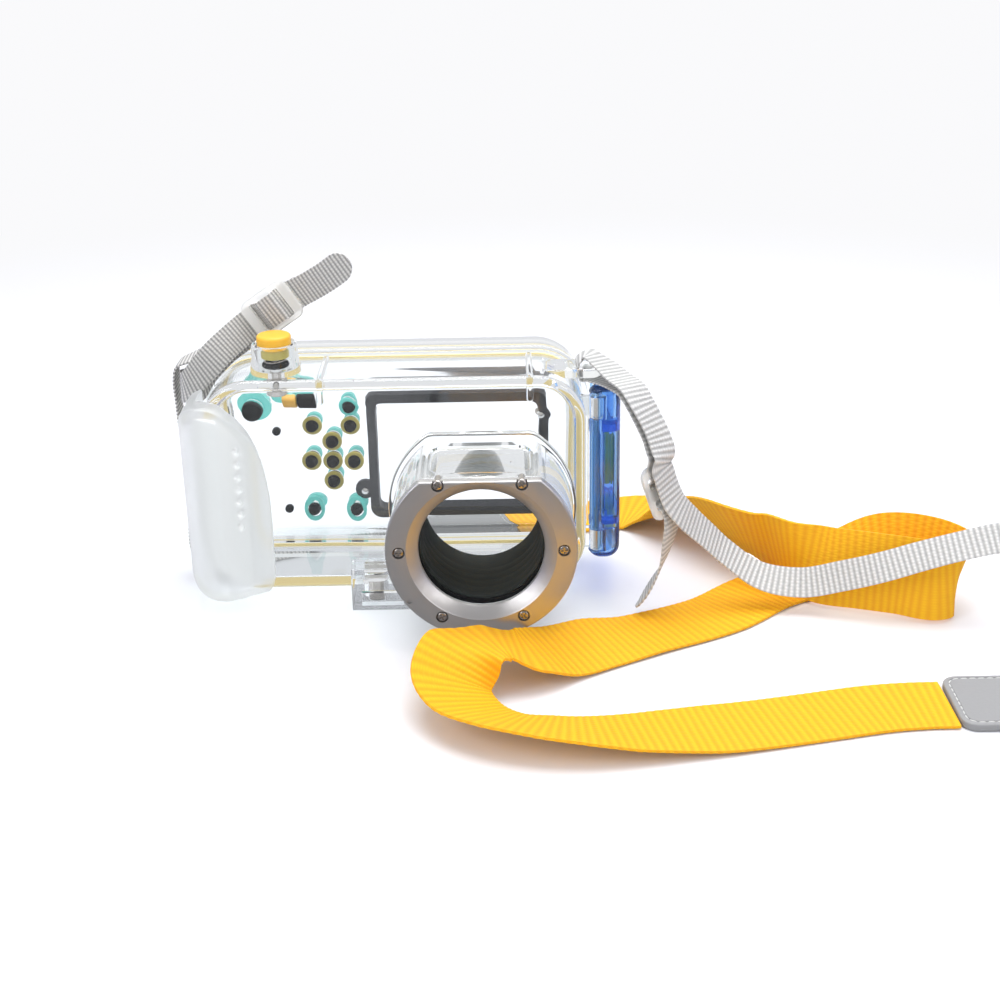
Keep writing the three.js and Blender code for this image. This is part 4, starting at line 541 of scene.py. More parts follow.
def see_through(mat, shadow=(0.95, 0.97, 0.97)):
    """Lets shadow rays pass a clear piece, tinted."""
    tree = mat.node_tree
    out = tree.nodes["Material Output"]
    surface = tree.nodes["Principled BSDF"]
    path = tree.nodes.new("ShaderNodeLightPath")
    clear = tree.nodes.new("ShaderNodeBsdfTransparent")
    clear.inputs["Color"].default_value = (*shadow, 1)
    mix = tree.nodes.new("ShaderNodeMixShader")
    tree.links.new(path.outputs["Is Shadow Ray"], mix.inputs[0])
    tree.links.new(surface.outputs[0], mix.inputs[1])
    tree.links.new(clear.outputs[0], mix.inputs[2])
    tree.links.new(mix.outputs[0], out.inputs["Surface"])
    return mat


def web_material(name, light, dark, rib_pitch, yarn_pitch, depth):
    mat = base_material(name, light, 0.75, wear=None)
    tree = mat.node_tree
    surface = tree.nodes["Principled BSDF"]
    weave = tree.nodes.new("ShaderNodeGroup")
    weave.node_tree = WEAVE
    for label in ("Run", "Side"):
        source = tree.nodes.new("ShaderNodeAttribute")
        source.attribute_name = label.lower()
        tree.links.new(source.outputs["Fac"], weave.inputs[label])
    for label, value in (("Rib pitch", rib_pitch), ("Yarn pitch", yarn_pitch), ("Depth", depth)):
        weave.inputs[label].default_value = value
    # The dark colour goes into the grooves as painted shade, together with the weave's pattern, and the light
    # colour goes onto the ribs.
    mix = tree.nodes.new("ShaderNodeMix")
    mix.data_type = "RGBA"
    mix.inputs[6].default_value = (*dark, 1)
    mix.inputs[7].default_value = (*light, 1)
    tree.links.new(weave.outputs["Shade"], mix.inputs[0])
    tree.links.new(mix.outputs[2], surface.inputs["Base Color"])
    tree.links.new(weave.outputs["Normal"], surface.inputs["Normal"])
    return mat


def plastic(name, color, roughness, wear, index, share, shadow=(0.95, 0.97, 0.97)):
    """A see-through material; share is how much of the light passes into it."""
    mat = base_material(name, color, roughness, wear=wear, IOR=index, Transmission_Weight=share)
    return see_through(mat, shadow)


def tint_inside(mat, color, density):
    """Takes light away along its path inside the piece, so thick places look deeper."""
    tree = mat.node_tree
    absorb = tree.nodes.new("ShaderNodeVolumeAbsorption")
    absorb.inputs["Color"].default_value = (*color, 1)
    absorb.inputs["Density"].default_value = density
    tree.links.new(absorb.outputs[0], tree.nodes["Material Output"].inputs["Volume"])


CLEAR = plastic("clear_plastic", (0.97, 0.985, 0.985), 0.03, (25.0, 0.03, 0.02), 1.45, 1.0)
# The port glass has a lower index than real glass, so that it mirrors as little as a coated pane.
GLASS = plastic("port_glass", (0.98, 0.99, 0.985), 0.0, None, 1.1, 1.0)
FROSTED = plastic(
    "frosted_plastic", (0.965, 0.975, 0.97), 0.34, (40.0, 0.08, 0.06), 1.4, 0.93, (0.88, 0.89, 0.89))
SLIDER = plastic(
    "slider_plastic", (0.97, 0.97, 0.95), 0.3, (80.0, 0.1, 0.05), 1.4, 0.65, (0.85, 0.85, 0.83))
BLUE = plastic(
    "blue_plastic", (0.42, 0.66, 0.92), 0.05, (30.0, 0.04, 0.03), 1.45, 0.95, (0.35, 0.55, 0.92))
tint_inside(BLUE, (0.05, 0.36, 0.8), 100.0)
LIME = base_material("lime_plastic", (0.55, 0.6, 0.12), 0.35, wear=(60.0, 0.1, 0.05))
TEAL = plastic("teal_plastic", (0.22, 0.78, 0.72), 0.2, (60.0, 0.1, 0.05), 1.45, 0.5, (0.45, 0.85, 0.8))
YELLOW = base_material("yellow_plastic", (0.93, 0.5, 0.04), 0.38, wear=(60.0, 0.1, 0.08))
GASKET = base_material("gasket_rubber", (0.92, 0.74, 0.34), 0.45, wear=(60.0, 0.1, 0.05))
BLACK = base_material(
    "black_plastic", (0.006, 0.006, 0.01), 0.45, wear=(90.0, 0.15, 0.15), Specular_IOR_Level=0.15)
RUBBER = base_material(
    "black_rubber", (0.006, 0.006, 0.007), 0.6, wear=(120.0, 0.15, 0.2), Specular_IOR_Level=0.15)
LINER = base_material(
    "dark_liner", (0.03, 0.034, 0.033), 0.75, wear=(120.0, 0.1, 0.1), Specular_IOR_Level=0.12)
METAL = base_material("port_metal", (0.6, 0.585, 0.58), 0.38, 0.9, wear=(500.0, 0.2, 0.12))
DARK_STEEL = base_material("dark_steel", (0.52, 0.48, 0.45), 0.28, 1.0, wear=(200.0, 0.15, 0.1))
STEEL = base_material("steel", (0.58, 0.55, 0.52), 0.24, 1.0, wear=(150.0, 0.12, 0.1))
# Each webbing's second colour is the painted shade in its weave's grooves, as well as the darker part of its
# pattern.
WEB_YELLOW = web_material("yellow_webbing", (0.92, 0.5, 0.002), (0.84, 0.36, 0.0), 2.5, 0.9, 0.55)
WEB_GREY = web_material("grey_webbing", (0.72, 0.71, 0.69), (0.36, 0.36, 0.35), 1.8, 1.1, 0.8)
WEB_FINE = web_material("fine_grey_webbing", (0.72, 0.7, 0.67), (0.24, 0.24, 0.23), 1.3, 1.0, 0.9)
LEATHER = base_material("grey_leather", (0.3, 0.3, 0.3), 0.5, wear=(700.0, 0.2, 0.6))
THREAD = base_material("pale_thread", (0.62, 0.62, 0.6), 0.8, wear=(900.0, 0.1, 0.2))
ORANGE = base_material("orange_rubber", (0.72, 0.4, 0.07), 0.4, wear=(90.0, 0.1, 0.1))
AMBER = base_material("amber_rubber", (0.45, 0.38, 0.09), 0.4, wear=(90.0, 0.1, 0.1))
end_long_paths(CLEAR, 4.5)
end_long_paths(FROSTED, 5.5)
end_long_paths(BLUE, 6.5, (0.25, 0.45, 0.85))

CAD_FINISH = {
    "front_shell": CLEAR, "rear_shell": CLEAR, "port_glass": GLASS, "grip": FROSTED,
    "port_ring": METAL, "port_seal": RUBBER, "port_liner": LINER, "tripod_insert": STEEL,
    "hinge_pin": STEEL, "lever_pin": STEEL, "gasket": GASKET, "lcd_hood": BLACK,
    "hood_screw_1": STEEL, "hood_screw_2": STEEL, "shutter_cap": YELLOW, "shutter_stem": STEEL,
    "shutter_seal": RUBBER, "shutter_spring": DARK_STEEL, "latch_lever": BLUE, "latch_lock": LIME,
    "mode_knob": TEAL, "mode_wheel": RUBBER, "zoom_lever": TEAL, "zoom_arm": RUBBER,
    "slider_left": SLIDER, "slider_right": SLIDER, "patch_left": LEATHER, "patch_right": LEATHER,
    "strap_wide": WEB_YELLOW, "strap_left": WEB_GREY, "strap_right": WEB_GREY,
}
for cad_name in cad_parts:
    thing = bpy.data.objects.get(cad_name)
    if thing is None:
        continue
    finish = CAD_FINISH.get(cad_name)
    if finish is None:
        finish = RUBBER if cad_name.endswith("_plunger") else TEAL if cad_name.endswith("_cap") else STEEL
    thing.data.materials.clear()
    thing.data.materials.append(finish)


def finish_piece(obj, mat, body, slot_name, *cad_nodes):
    obj.data.materials.clear()
    obj.data.materials.append(mat)
    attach(obj, body)
    if cad_nodes:
        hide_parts(*cad_nodes)
    return obj


# Finer pieces

# Places and sizes that pieces share, in millimetres
PORT = (26.2, 34.6)
LATCH_AXIS = (64.4, 5.6)
SHUTTER_AXIS = (-40.5, 12)
CASE_LEFT, CASE_RIGHT, CASE_LOW, CASE_HIGH = -65, 60.5, 5, 78.5
CASE_REAR = 48
CASE_CORNER = 16
WALL = 3.2
FLANGE = 1.8
RIM = 5.4
FRONT_END, REAR_START = 27.85, 28.15
PIN_HOLE = 1.5
LATCH_PIN_HOLE = 1.55
KNUCKLE = 2.8
SCREW_RING = 25.7
SCREW_RING_TOP = 22.3
SCREW_HOLE = 1.4
BORE = 21.4
BARREL, BARREL_FLAT = 29.4, 23.2
BARREL_FRONT = -33.6
RING_FRONT, RING_BACK = -37.6, -33.9
FRONT_KNUCKLES = ((14, 23.7), (50.3, 60))
REAR_KNUCKLE = (24, 50)
LATCH_EARS = ((16.1, 23.1), (62.9, 69.9))
TOP_RIBS = (42.3, -25.3)
PLUNGER_HOLE, CONTROL_HOLE, HOOD_SCREW_HOLE = 1.8, 2.2, 1.2
HOOD_SCREW_DEEP = 45.67
PLUNGER_BOSS, CONTROL_BOSS = 2.8, 3.2
BOSS_SPAN = (46.4, 49.4)
FLANGE_FRONT, FLANGE_BACK, FLANGE_EDGE = 24.65, 31.35, 0.5
TOOL_END = 51

# Boxes of the two halves and the lever: left, right, then low and high in the plane that the piece
# is drawn in. Six numbers are a plain block, a span is the reach across that plane, and holes and
# wells are radii.
LEFT_LUG, LEFT_LUG_SPAN = (-72, -62.5, 65, 78), (18.3, 21.3)
LEFT_LUG_SLOT = (-69.7, -66.9, 16, 23, 66.1, 76.9)
RIGHT_LUG, RIGHT_LUG_SPAN = (46, 65.5, 7, 20), (75.4, 78.4)
RIGHT_LUG_SLOT = (56.4, 59.8, 8.1, 18.9, 74, 80)
LUG_CORNER, LUG_EDGE = 3.2, 0.8
BARREL_TOP_RECESS, RECESS_SPAN = (10.2, 42.2, -29.2, -6), (56.6, 62)
BASE_RECESS = (-14.8, -0.8, -9, -3.8, 1.6, 6.2)
TRIPOD_PLACE, TRIPOD_HOLE, TRIPOD_DEEP = (-10.5, 6), 4.3, 7.7
SHUTTER_WELL, SHUTTER_WELL_FLOOR, STEM_HOLE = 6.1, 79.7, 1.95
LATCH_LEDGE = (58, 62.7, 24, 62)
DOOR_WEB = (-69, -64.8, 28.45, 32.8)
LEVER, LEVER_SPAN = (61.1, 72, 2, 35.6), (12.6, 73.4)
LEVER_ROOM, LEVER_ROOM_SPAN = (58, 69.8, 4.2, 33.4), (14.8, 71.2)
LEVER_WINDOW = (63.3, 69.8, 31, 58)
LEVER_WEB, LEVER_WEB_SPANS = (61.6, 70.8, 2.6, 33.9), ((57.5, 61.5), (24.5, 27.5))
LEVER_ARM_SPAN = (23.4, 62.6)
LOCK_SLOT = (69, 74, 24.8, 28.6, 31.5, 57.5)


def case_outline(grown):
    """The case's rounded outline seen from the front, grown or shrunk by a distance."""
    return rounded(CASE_LEFT - grown, CASE_RIGHT + grown, CASE_LOW - grown, CASE_HIGH + grown,
                   CASE_CORNER + grown, 24)


def flat_circle(radius, flat, corner, steps=8, sides=100):
    """A circle with a flat across its top, and rounded where the two meet."""
    def outline(grow=0.0):
        r, f, c = radius + grow, flat + grow, max(0.05, corner + grow)
        cx = math.sqrt((r - c) ** 2 - (f - c) ** 2)
        touch = math.atan2(f - c, cx)
        points = []
        for side, start in ((1, touch), (-1, QUARTER)):
            for i in range(steps + 1):
                a = start + (QUARTER - touch) * i / steps
                points.append((PORT[0] + side * cx + c * math.cos(a), PORT[1] + f - c + c * math.sin(a)))
        for i in range(1, sides):
            a = math.pi - touch + (math.pi + 2 * touch) * i / sides
            points.append((PORT[0] + r * math.cos(a), PORT[1] + r * math.sin(a)))
        return points
    return outline


SCREW_PLACES = []
for k in range(6):
    turn_angle = ROUND * k / 6
    screw_z = min(SCREW_RING * math.sin(turn_angle), SCREW_RING_TOP)
    screw_x = math.copysign(math.sqrt(SCREW_RING ** 2 - screw_z ** 2), math.cos(turn_angle))
    SCREW_PLACES.append((PORT[0] + screw_x, PORT[1] + screw_z))


def base_block():
    outline = [(-6.8, 0), (24, 0), (24, 6.6), (1.6, 6.6), (1.6, 15.5), (-4.2, 15.5), (-6.8, 12.9)]
    return slab("x", fixed(outline), -18, 32)


def shutter_boss():
    profile = [(0, 75.3), (8.3, 75.3), (8.3, 80.4), (8.2, 80.8), (7.6, 83.3), (7.6, 87.1),
               (7.5, 87.6), (7.2, 88.0), (6.8, 88.1), (0, 88.1)]
    return lathe("z", profile, SHUTTER_AXIS)


def barrel_hollow():
    """The room between the barrel's wall and its bore tube."""
    room = slab("y", flat_circle(26.6, 19.2, 3), -29.2, 4.2)
    return combine("hollow", room, [("-", rod("y", 23.8, -34, -3, PORT, FINE))])


def front_additions():
    """What stands out of the front half, as tools for combine."""
    steps = [
        ("+", slab("y", case_outline(FLANGE), FLANGE_FRONT, FRONT_END, FLANGE_EDGE, low_only=True)),
        ("+", slab("y", flat_circle(BARREL, BARREL_FLAT, 3.2), BARREL_FRONT, 3.0, 0.7, low_only=True)),
        ("+", slab("y", flat_circle(31, 26, 5), -3, 3.0, 1.3, low_only=True)),
        ("+", base_block()),
        ("+", shutter_boss()),
        ("+", slab("y", rounded(*LEFT_LUG, LUG_CORNER), *LEFT_LUG_SPAN, LUG_EDGE)),
        ("+", slab("z", rounded(*RIGHT_LUG, LUG_CORNER), *RIGHT_LUG_SPAN, LUG_EDGE)),
    ]
    for low, high in FRONT_KNUCKLES:
        steps.append(("+", rod("z", KNUCKLE, low, high, HINGE_AXIS, SMALL, 0.3)))
        steps.append(("+", block(-71.8, -66.8, FLANGE_FRONT, HINGE_AXIS[1], low, high)))
        steps.append(("+", block(-71.8, -64, FLANGE_FRONT, FRONT_END, low, high)))
    for low, high in LATCH_EARS:
        steps.append(("+", block(58.9, LATCH_AXIS[0], LATCH_AXIS[1], 8.2, low, high)))
        steps.append(("+", rod("z", 2.6, low, high, LATCH_AXIS)))
    for x in TOP_RIBS:
        left, right = x - 1.1, x + 1.1
        steps.append(("+", slab("y", rounded(left, right, 70.5, 79.4, 1.1), -0.9, 1.6, 0.5, low_only=True)))
        steps.append(("+", slab("y", rounded(left, right, 76.9, 79.4, 1.0), -0.6, 25)))
    return steps


def front_cuts():
    """What is taken out of the front half: its room, the bore, and the holes and slots."""
    door_knuckle_low, door_knuckle_high = 23.7, 50.3
    steps = [
        ("-", slab("y", case_outline(-WALL), WALL, 30, 1.2, low_only=True)),
        ("-", barrel_hollow()),
        ("-", rod("y", BORE, -36, 5, PORT, FINE)),
        ("-", slab("z", rounded(*BARREL_TOP_RECESS, 5), *RECESS_SPAN, 0.5, low_only=True)),
        ("-", block(*BASE_RECESS)),
        ("-", rod("z", TRIPOD_HOLE, -1, TRIPOD_DEEP, TRIPOD_PLACE)),
        ("-", rod("z", SHUTTER_WELL, SHUTTER_WELL_FLOOR, 90, SHUTTER_AXIS, FINE)),
        ("-", rod("z", STEM_HOLE, 70, 82, SHUTTER_AXIS)),
        ("-", block(*LEFT_LUG_SLOT)),
        ("-", block(*RIGHT_LUG_SLOT)),
        ("-", rod("z", PIN_HOLE, 10, 70, HINGE_AXIS)),
        ("-", rod("z", 3.1, door_knuckle_low, door_knuckle_high, HINGE_AXIS)),
        ("-", rod("z", LATCH_PIN_HOLE, 14, 72, LATCH_AXIS)),
    ]
    for place in SCREW_PLACES:
        steps.append(("-", rod("y", SCREW_HOLE, -36, -31.1, place, 20)))
    return steps


def front_shell():
    case = slab("y", case_outline(0), 0, FRONT_END, 2.4, 8, low_only=True)
    return combine("front_case", case, front_additions() + front_cuts())


BUTTONS = {
    "up": (-27.8, 42.2), "down": (-27.8, 27.0), "left": (-35.4, 34.6), "right": (-20.2, 34.6),
    "set": (-27.8, 34.6), "flash": (-34.6, 48.28), "timer": (-21, 48.28), "record": (-21, 55.73),
    "menu": (-35.4, 15.98), "display": (-20.2, 15.98),
}
CONTROLS = ((-55, 54.5), (-41, 58.6))
HOOD_EARS = ((-17, 22.2), (46.8, 50.4))
STUDS = ((-47.3, 46.0), (-44.4, 16.0))


def gasket_groove():
    groove = slab("y", case_outline(-0.1), 26, 31.25)
    return combine("groove", groove, [("-", slab("y", case_outline(-4.4), 24, 34))])


def rear_shell():
    knuckle_low, knuckle_high = REAR_KNUCKLE
    steps = [
        ("+", slab("y", case_outline(FLANGE), REAR_START, FLANGE_BACK, FLANGE_EDGE, high_only=True)),
        ("+", slab("y", rounded(*LATCH_LEDGE, 0.9), REAR_START, 31.15, 0.4, high_only=True)),
    ]
    for place in BUTTONS.values():
        steps.append(("+", rod("y", PLUNGER_BOSS, *BOSS_SPAN, place, SMALL, 0.3)))
    for place in CONTROLS:
        steps.append(("+", rod("y", CONTROL_BOSS, *BOSS_SPAN, place, SMALL, 0.3)))
    steps += [
        ("-", slab("y", case_outline(-WALL), 32.35, 44.8, 1.2, high_only=True)),
        ("-", slab("y", case_outline(-RIM), 26, 33)),
        ("-", gasket_groove()),
        ("-", rod("z", 3.4, 13.7, 24.05, HINGE_AXIS)),
        ("-", rod("z", 3.4, 49.95, 60.3, HINGE_AXIS)),
        ("+", rod("z", KNUCKLE, knuckle_low, knuckle_high, HINGE_AXIS, SMALL, 0.3)),
        ("+", block(*DOOR_WEB, knuckle_low, knuckle_high)),
        ("-", rod("z", PIN_HOLE, 14, 60, HINGE_AXIS)),
    ]
    for place in BUTTONS.values():
        steps.append(("-", rod("y", PLUNGER_HOLE, 43, TOOL_END, place)))
    for place in CONTROLS:
        steps.append(("-", rod("y", CONTROL_HOLE, 43, TOOL_END, place)))
    for place in HOOD_EARS:
        steps.append(("-", rod("y", HOOD_SCREW_HOLE, HOOD_SCREW_DEEP, TOOL_END, place, 20)))
    case = slab("y", case_outline(0), REAR_START, CASE_REAR, WALL, 10, high_only=True)
    return combine("rear_case", case, steps)


def port_ring():
    mouth = [(0, -39), (23.9, -39), (23.6, -37.75), (23.3, -37.45), (22.9, -37.2), (20.0, -34.9),
             (19.75, -34.6), (19.7, -34.3), (19.7, -33), (0, -33)]
    steps = [("-", lathe("y", mouth, PORT, sides=128))]
    pin_ring = 28.4
    pin_turn = ROUND * 0.6
    pin_place = (PORT[0] + pin_ring * math.cos(pin_turn), PORT[1] + pin_ring * math.sin(pin_turn))
    steps.append(("-", rod("y", 0.8, -39, -36.8, pin_place, 20)))
    for place in SCREW_PLACES:
        steps.append(("-", rod("y", SCREW_HOLE, -39, -30, place, 20)))
        steps.append(("-", rod("y", 1.95, -39, -36.0, place, SMALL)))
    blank = slab("y", flat_circle(30, 23.4, 1.8), RING_FRONT, RING_BACK, 0.7)
    return combine("ring_finish", blank, steps)


def ring_screw(index, place):
    """A cross-slotted screw; each one is turned a little further than the one before."""
    radius, shank, shank_end = 1.66, 1.1, -31.1
    slot_reach, slot_half, slot_floor = 1.05, 0.24, -36.95
    first_turn, next_turn = 0.35, 1.1
    head = [(0, RING_FRONT), (0.9, -37.58), (1.3, -37.45), (1.55, -37.2), (radius, -36.8), (radius, -36.3),
            (shank, -36.3), (shank, shank_end), (0, shank_end)]
    x, z = place
    steps = [
        ("-", block(x - slot_reach, x + slot_reach, -39, slot_floor, z - slot_half, z + slot_half)),
        ("-", block(x - slot_half, x + slot_half, -39, slot_floor, z - slot_reach, z + slot_reach)),
    ]
    piece = combine("ring_screw_fine_%d" % index, lathe("y", head, place, sides=SMALL), steps)
    return about(piece, (x, 0, z), Matrix.Rotation(first_turn + index * next_turn, 4, "Y"))


def port_liner():
    outer, inner, groove = 21.1, 19.2, 19.3
    front, back = -29, 2.5
    first_groove, groove_pitch, grooves = -26.6, 4.6, 5
    profile = [(outer, front), (19.5, front), (inner, -28.7)]
    for k in range(grooves):
        at = first_groove + groove_pitch * k
        profile += [(inner, at - 0.6), (groove, at - 0.3), (groove, at + 0.3), (inner, at + 0.6)]
    profile += [(inner, 2.3), (19.4, back), (outer, back)]
    return lathe("y", profile, PORT, "liner_fine", 128, closed=True)


def smooth_block(name, obj, voxel, rounds):
    mod = obj.modifiers.new("even", "REMESH")
    mod.mode = "VOXEL"
    mod.voxel_size = voxel * MM
    mod.use_smooth_shade = True
    mod = obj.modifiers.new("soft", "SMOOTH")
    mod.factor = 0.5
    mod.iterations = rounds
    piece = combine(name, obj, [])
    shade(piece.data, 80)
    return piece


def curve(points, steps=14):
    """Straight runs and quadratic turns; a turn is given as its control and its end."""
    out = [points[0]]
    for p in points[1:]:
        if len(p) == 2:
            out.append(p)
            continue
        x0, y0 = out[-1]
        cx, cy, x1, y1 = p
        for i in range(1, steps + 1):
            t = i / steps
            out.append(((1 - t) ** 2 * x0 + 2 * t * (1 - t) * cx + t * t * x1,
                        (1 - t) ** 2 * y0 + 2 * t * (1 - t) * cy + t * t * y1))
    return out


def overlap(plan, face):
    """The room that a plan in X and Y and a face in X and Z have in common."""
    body = slab("z", fixed(plan), 3, 76)
    tool = slab("y", fixed(face), -12, 24)
    mod = body.modifiers.new("both", "BOOLEAN")
    mod.operation = "INTERSECT"
    mod.solver = "MANIFOLD"
    mod.object = tool
    body = combine("both", body, [])
    bpy.data.objects.remove(tool, do_unlink=True)
    return body


def grip():
    """The frosted grip, hollowed from behind, with a row of small pips inside its front."""
    plan = curve([(-72, 20), (-72, 2.9), (-72, -9.5, -59, -9.5), (-56.5, -9.5, -50, -4.75),
                  (-46.7, -1.9, -43.5, -1.9), (-43.5, -0.3), (-65.3, -0.3), (-65.3, 20)])
    face = curve([(-59, 5), (-46.5, 5), (-44.2, 6.2, -43.6, 12), (-43.5, 31), (-43.5, 60, -55.5, 69.0),
                  (-59, 73.4, -65.5, 72.6), (-72, 71.5, -72, 61), (-72, 18), (-72, 5, -59, 5)])[:-1]
    body = overlap(plan, face)
    inner_plan = curve([(-69.8, 21), (-69.8, 3), (-69.8, -7.2, -59, -7.2), (-57, -7.2, -51.5, -4.2),
                        (-48.5, -2.9), (-67.4, -2.6), (-67.4, 21)])
    inner_face = curve([(-58, 8), (-49, 8), (-47, 9.5, -46.4, 14), (-46.3, 31), (-46.3, 57, -56.5, 66),
                        (-60, 69.5, -64.5, 69), (-69.3, 68, -69.3, 60), (-69.3, 18), (-69.3, 8, -58, 8)])[:-1]
    steps = [("-", block(-80, -64.3, 12.4, 30, 62, 80)), ("-", overlap(inner_plan, inner_face))]
    pips, lowest_pip, pip_row = 7, 31, 26
    pip = [(0, -7.55), (0.5, -7.5), (0.95, -7.2), (1.1, -6.6), (1.1, -4), (0, -4)]
    for k in range(pips):
        steps.append(("+", lathe("y", pip, (-53, lowest_pip + pip_row * k / (pips - 1)), sides=20)))
    return smooth_block("grip_smooth", combine("grip_cut", body, steps), 0.45, 7)


def latch_lever():
    """The blue lever: a hollow shell with a ribbed window, two webs and room for the ears."""
    inside = slab("z", rounded(*LEVER_ROOM, 3), *LEVER_ROOM_SPAN, 1.5)
    shell = slab("z", rounded(*LEVER, 4.8, 14), *LEVER_SPAN, 4.2, 10)
    steps = [
        ("-", inside),
        ("-", slab("y", rounded(*LEVER_WINDOW, 1.2), 0, 3.1)),
        ("+", rod("z", 2.6, *LEVER_ARM_SPAN, LATCH_AXIS)),
        ("+", block(64.4, 70.9, 4.3, 6.9, *LEVER_ARM_SPAN)),
    ]
    for low, high in LEVER_WEB_SPANS:
        steps.append(("+", slab("z", rounded(*LEVER_WEB, 2.5), low, high, 0.8)))
    ribs, window_left, window_wide = 4, 63.3, 6.5
    for k in range(ribs):
        x = window_left + window_wide / ribs * (k + 0.5)
        steps.append(("+", slab("y", rounded(x - 0.5, x + 0.5, 30.5, 58.5, 0.4), 2.3, 4.3)))
    steps += [
        ("-", block(58, 63.3, 8.2, 40, 8, 78)),
        ("-", block(58, 62.9, 17.8, 40, 8, 78)),
    ]
    for low, high in LATCH_EARS:
        steps.append(("-", rod("z", 3.2, low - 0.3, high + 0.3, LATCH_AXIS)))
        steps.append(("-", block(58, 64.4, -1, 5.6, low - 0.3, high + 0.3)))
    steps.append(("-", rod("z", LATCH_PIN_HOLE, *LEVER_ROOM_SPAN, LATCH_AXIS)))
    steps.append(("-", block(*LOCK_SLOT)))
    return combine("latch_fine", shell, steps)


def to_place(obj, place, along, across):
    x, z = Vector(along).normalized(), Vector(across).normalized()
    y = z.cross(x)
    turn = Matrix((x, y, z)).transposed().to_4x4()
    back = Matrix.Translation(-world_point((0, 0, 0)))
    obj.data.transform(Matrix.Translation(world_point(place)) @ turn @ back)
    return obj


def about(obj, place, change):
    """Turns or stretches a piece about a point."""
    middle = world_point(place)
    obj.data.transform(Matrix.Translation(middle) @ change @ Matrix.Translation(-middle))
    return obj


def slider(name, place, along, across):
    """A clear frame with two slots, which the webbing runs through."""
    half_long, half_wide, half_thick = 9, 7.2, 0.8
    slot_long, slot_half_wide, slot_starts = 3.6, 5.4, (-5.6, 2)
    outline = rounded(-half_long, half_long, -half_wide, half_wide, 3.2)
    steps = []
    for start in slot_starts:
        slot = rounded(start, start + slot_long, -slot_half_wide, slot_half_wide, 0.8)
        steps.append(("-", slab("y", slot, -3, 3)))
    body = slab("y", outline, -half_thick, half_thick, 0.5)
    return to_place(combine(name, body, steps), place, along, across)


def patch_outline(inset, corner):
    half_long, half_wide = 22, 14.5
    return rounded(inset - half_long, half_long - inset, inset - half_wide, half_wide - inset, corner)


def patch(name, place, along):
    """A leather patch with a shallow groove for its seam."""
    groove = slab("z", patch_outline(1.4, 3.8), 2.3, 3)
    groove = combine("seam", groove, [("-", slab("z", patch_outline(2.1, 3.3), 1, 4))])
    body = slab("z", patch_outline(0, 4.8), 0.1, 2.5, 0.55)
    return to_place(combine(name, body, [("-", groove)]), place, along, (0, 0, 1))


def stitches(name, place, along):
    """Short rounded threads lying in the patch's seam."""
    thread, stitch, pitch, seam_floor, patch_top = 0.27, 1.9, 2.6, 2.3, 2.49
    rows, sides = 7, 8
    points = [Vector(corner) for corner in patch_outline(1.75, 3.5)()]
    points.append(points[0])
    runs = [0.0]
    for a, b in zip(points, points[1:]):
        runs.append(runs[-1] + (b - a).length)
    count = int(runs[-1] / pitch)

    def at(run):
        run %= runs[-1]
        for i in range(len(runs) - 1):
            if runs[i + 1] >= run:
                share = (run - runs[i]) / max(runs[i + 1] - runs[i], 1e-9)
                return points[i].lerp(points[i + 1], share)
        return points[0]

    verts, faces = [], []
    for k in range(count):
        start = runs[-1] * k / count
        first = len(verts)
        for j in range(rows):
            t = j / (rows - 1)
            middle = at(start + stitch * t)
            ahead = (at(start + stitch * t + 0.1) - at(start + stitch * t - 0.1)).normalized()
            side = Vector((-ahead.y, ahead.x))
            r = thread * (0.35 + 0.65 * math.sin(math.pi * min(max(t, 0.04), 0.96)) ** 0.5)
            z = seam_floor + 0.12 * math.sin(math.pi * t)
            for s in range(sides):
                a = ROUND * s / sides
                p = middle + side * (r * math.cos(a))
                verts.append((p.x, p.y, min(z + r * math.sin(a), patch_top)))
        for face in rings_to_faces(rows, sides):
            faces.append(tuple(first + i for i in face))
    return to_place(new_object(name, verts, faces, 60), place, along, (0, 0, 1))


def cap_fine(name, x, z, oval):
    wide, radius = (3.7 if oval else 2.9), 2.9
    top = [(0, 51.7), (2.75, 51.7), (radius, 51.85), (radius, 53.6), (2.8, 54.1), (2.5, 54.5),
           (2.0, 54.68), (0, 54.7)]
    body = about(lathe("y", top, (x, z), sides=48), (x, 0, z), Matrix.Diagonal((wide / radius, 1, 1, 1)))
    return combine(name, body, [("-", rod("y", PLUNGER_HOLE, 50, 52.7, (x, z)))])


def plunger_fine(name, x, z):
    profile = [(0, 40.9), (1.2, 40.9), (1.6, 41.05), (1.8, 41.4), (1.85, 42.8), (2.2, 43.1), (2.25, 44.2),
               (2.1, 44.5), (1.5, 44.5), (1.5, 52.3), (0, 52.3)]
    return lathe("y", profile, (x, z), name, 40)


def bush(name, x, z, wide, tall):
    """The soft ring round a plunger, drawn round and stretched to its half width and height."""
    radius = 3.6
    profile = [(2.4, 43.7), (3.4, 43.7), (radius, 43.9), (radius, 44.5), (2.4, 44.5)]
    body = lathe("y", profile, (x, z), name, 40, closed=True)
    return about(body, (x, 0, z), Matrix.Diagonal((wide / radius, 1, tall / radius, 1)))


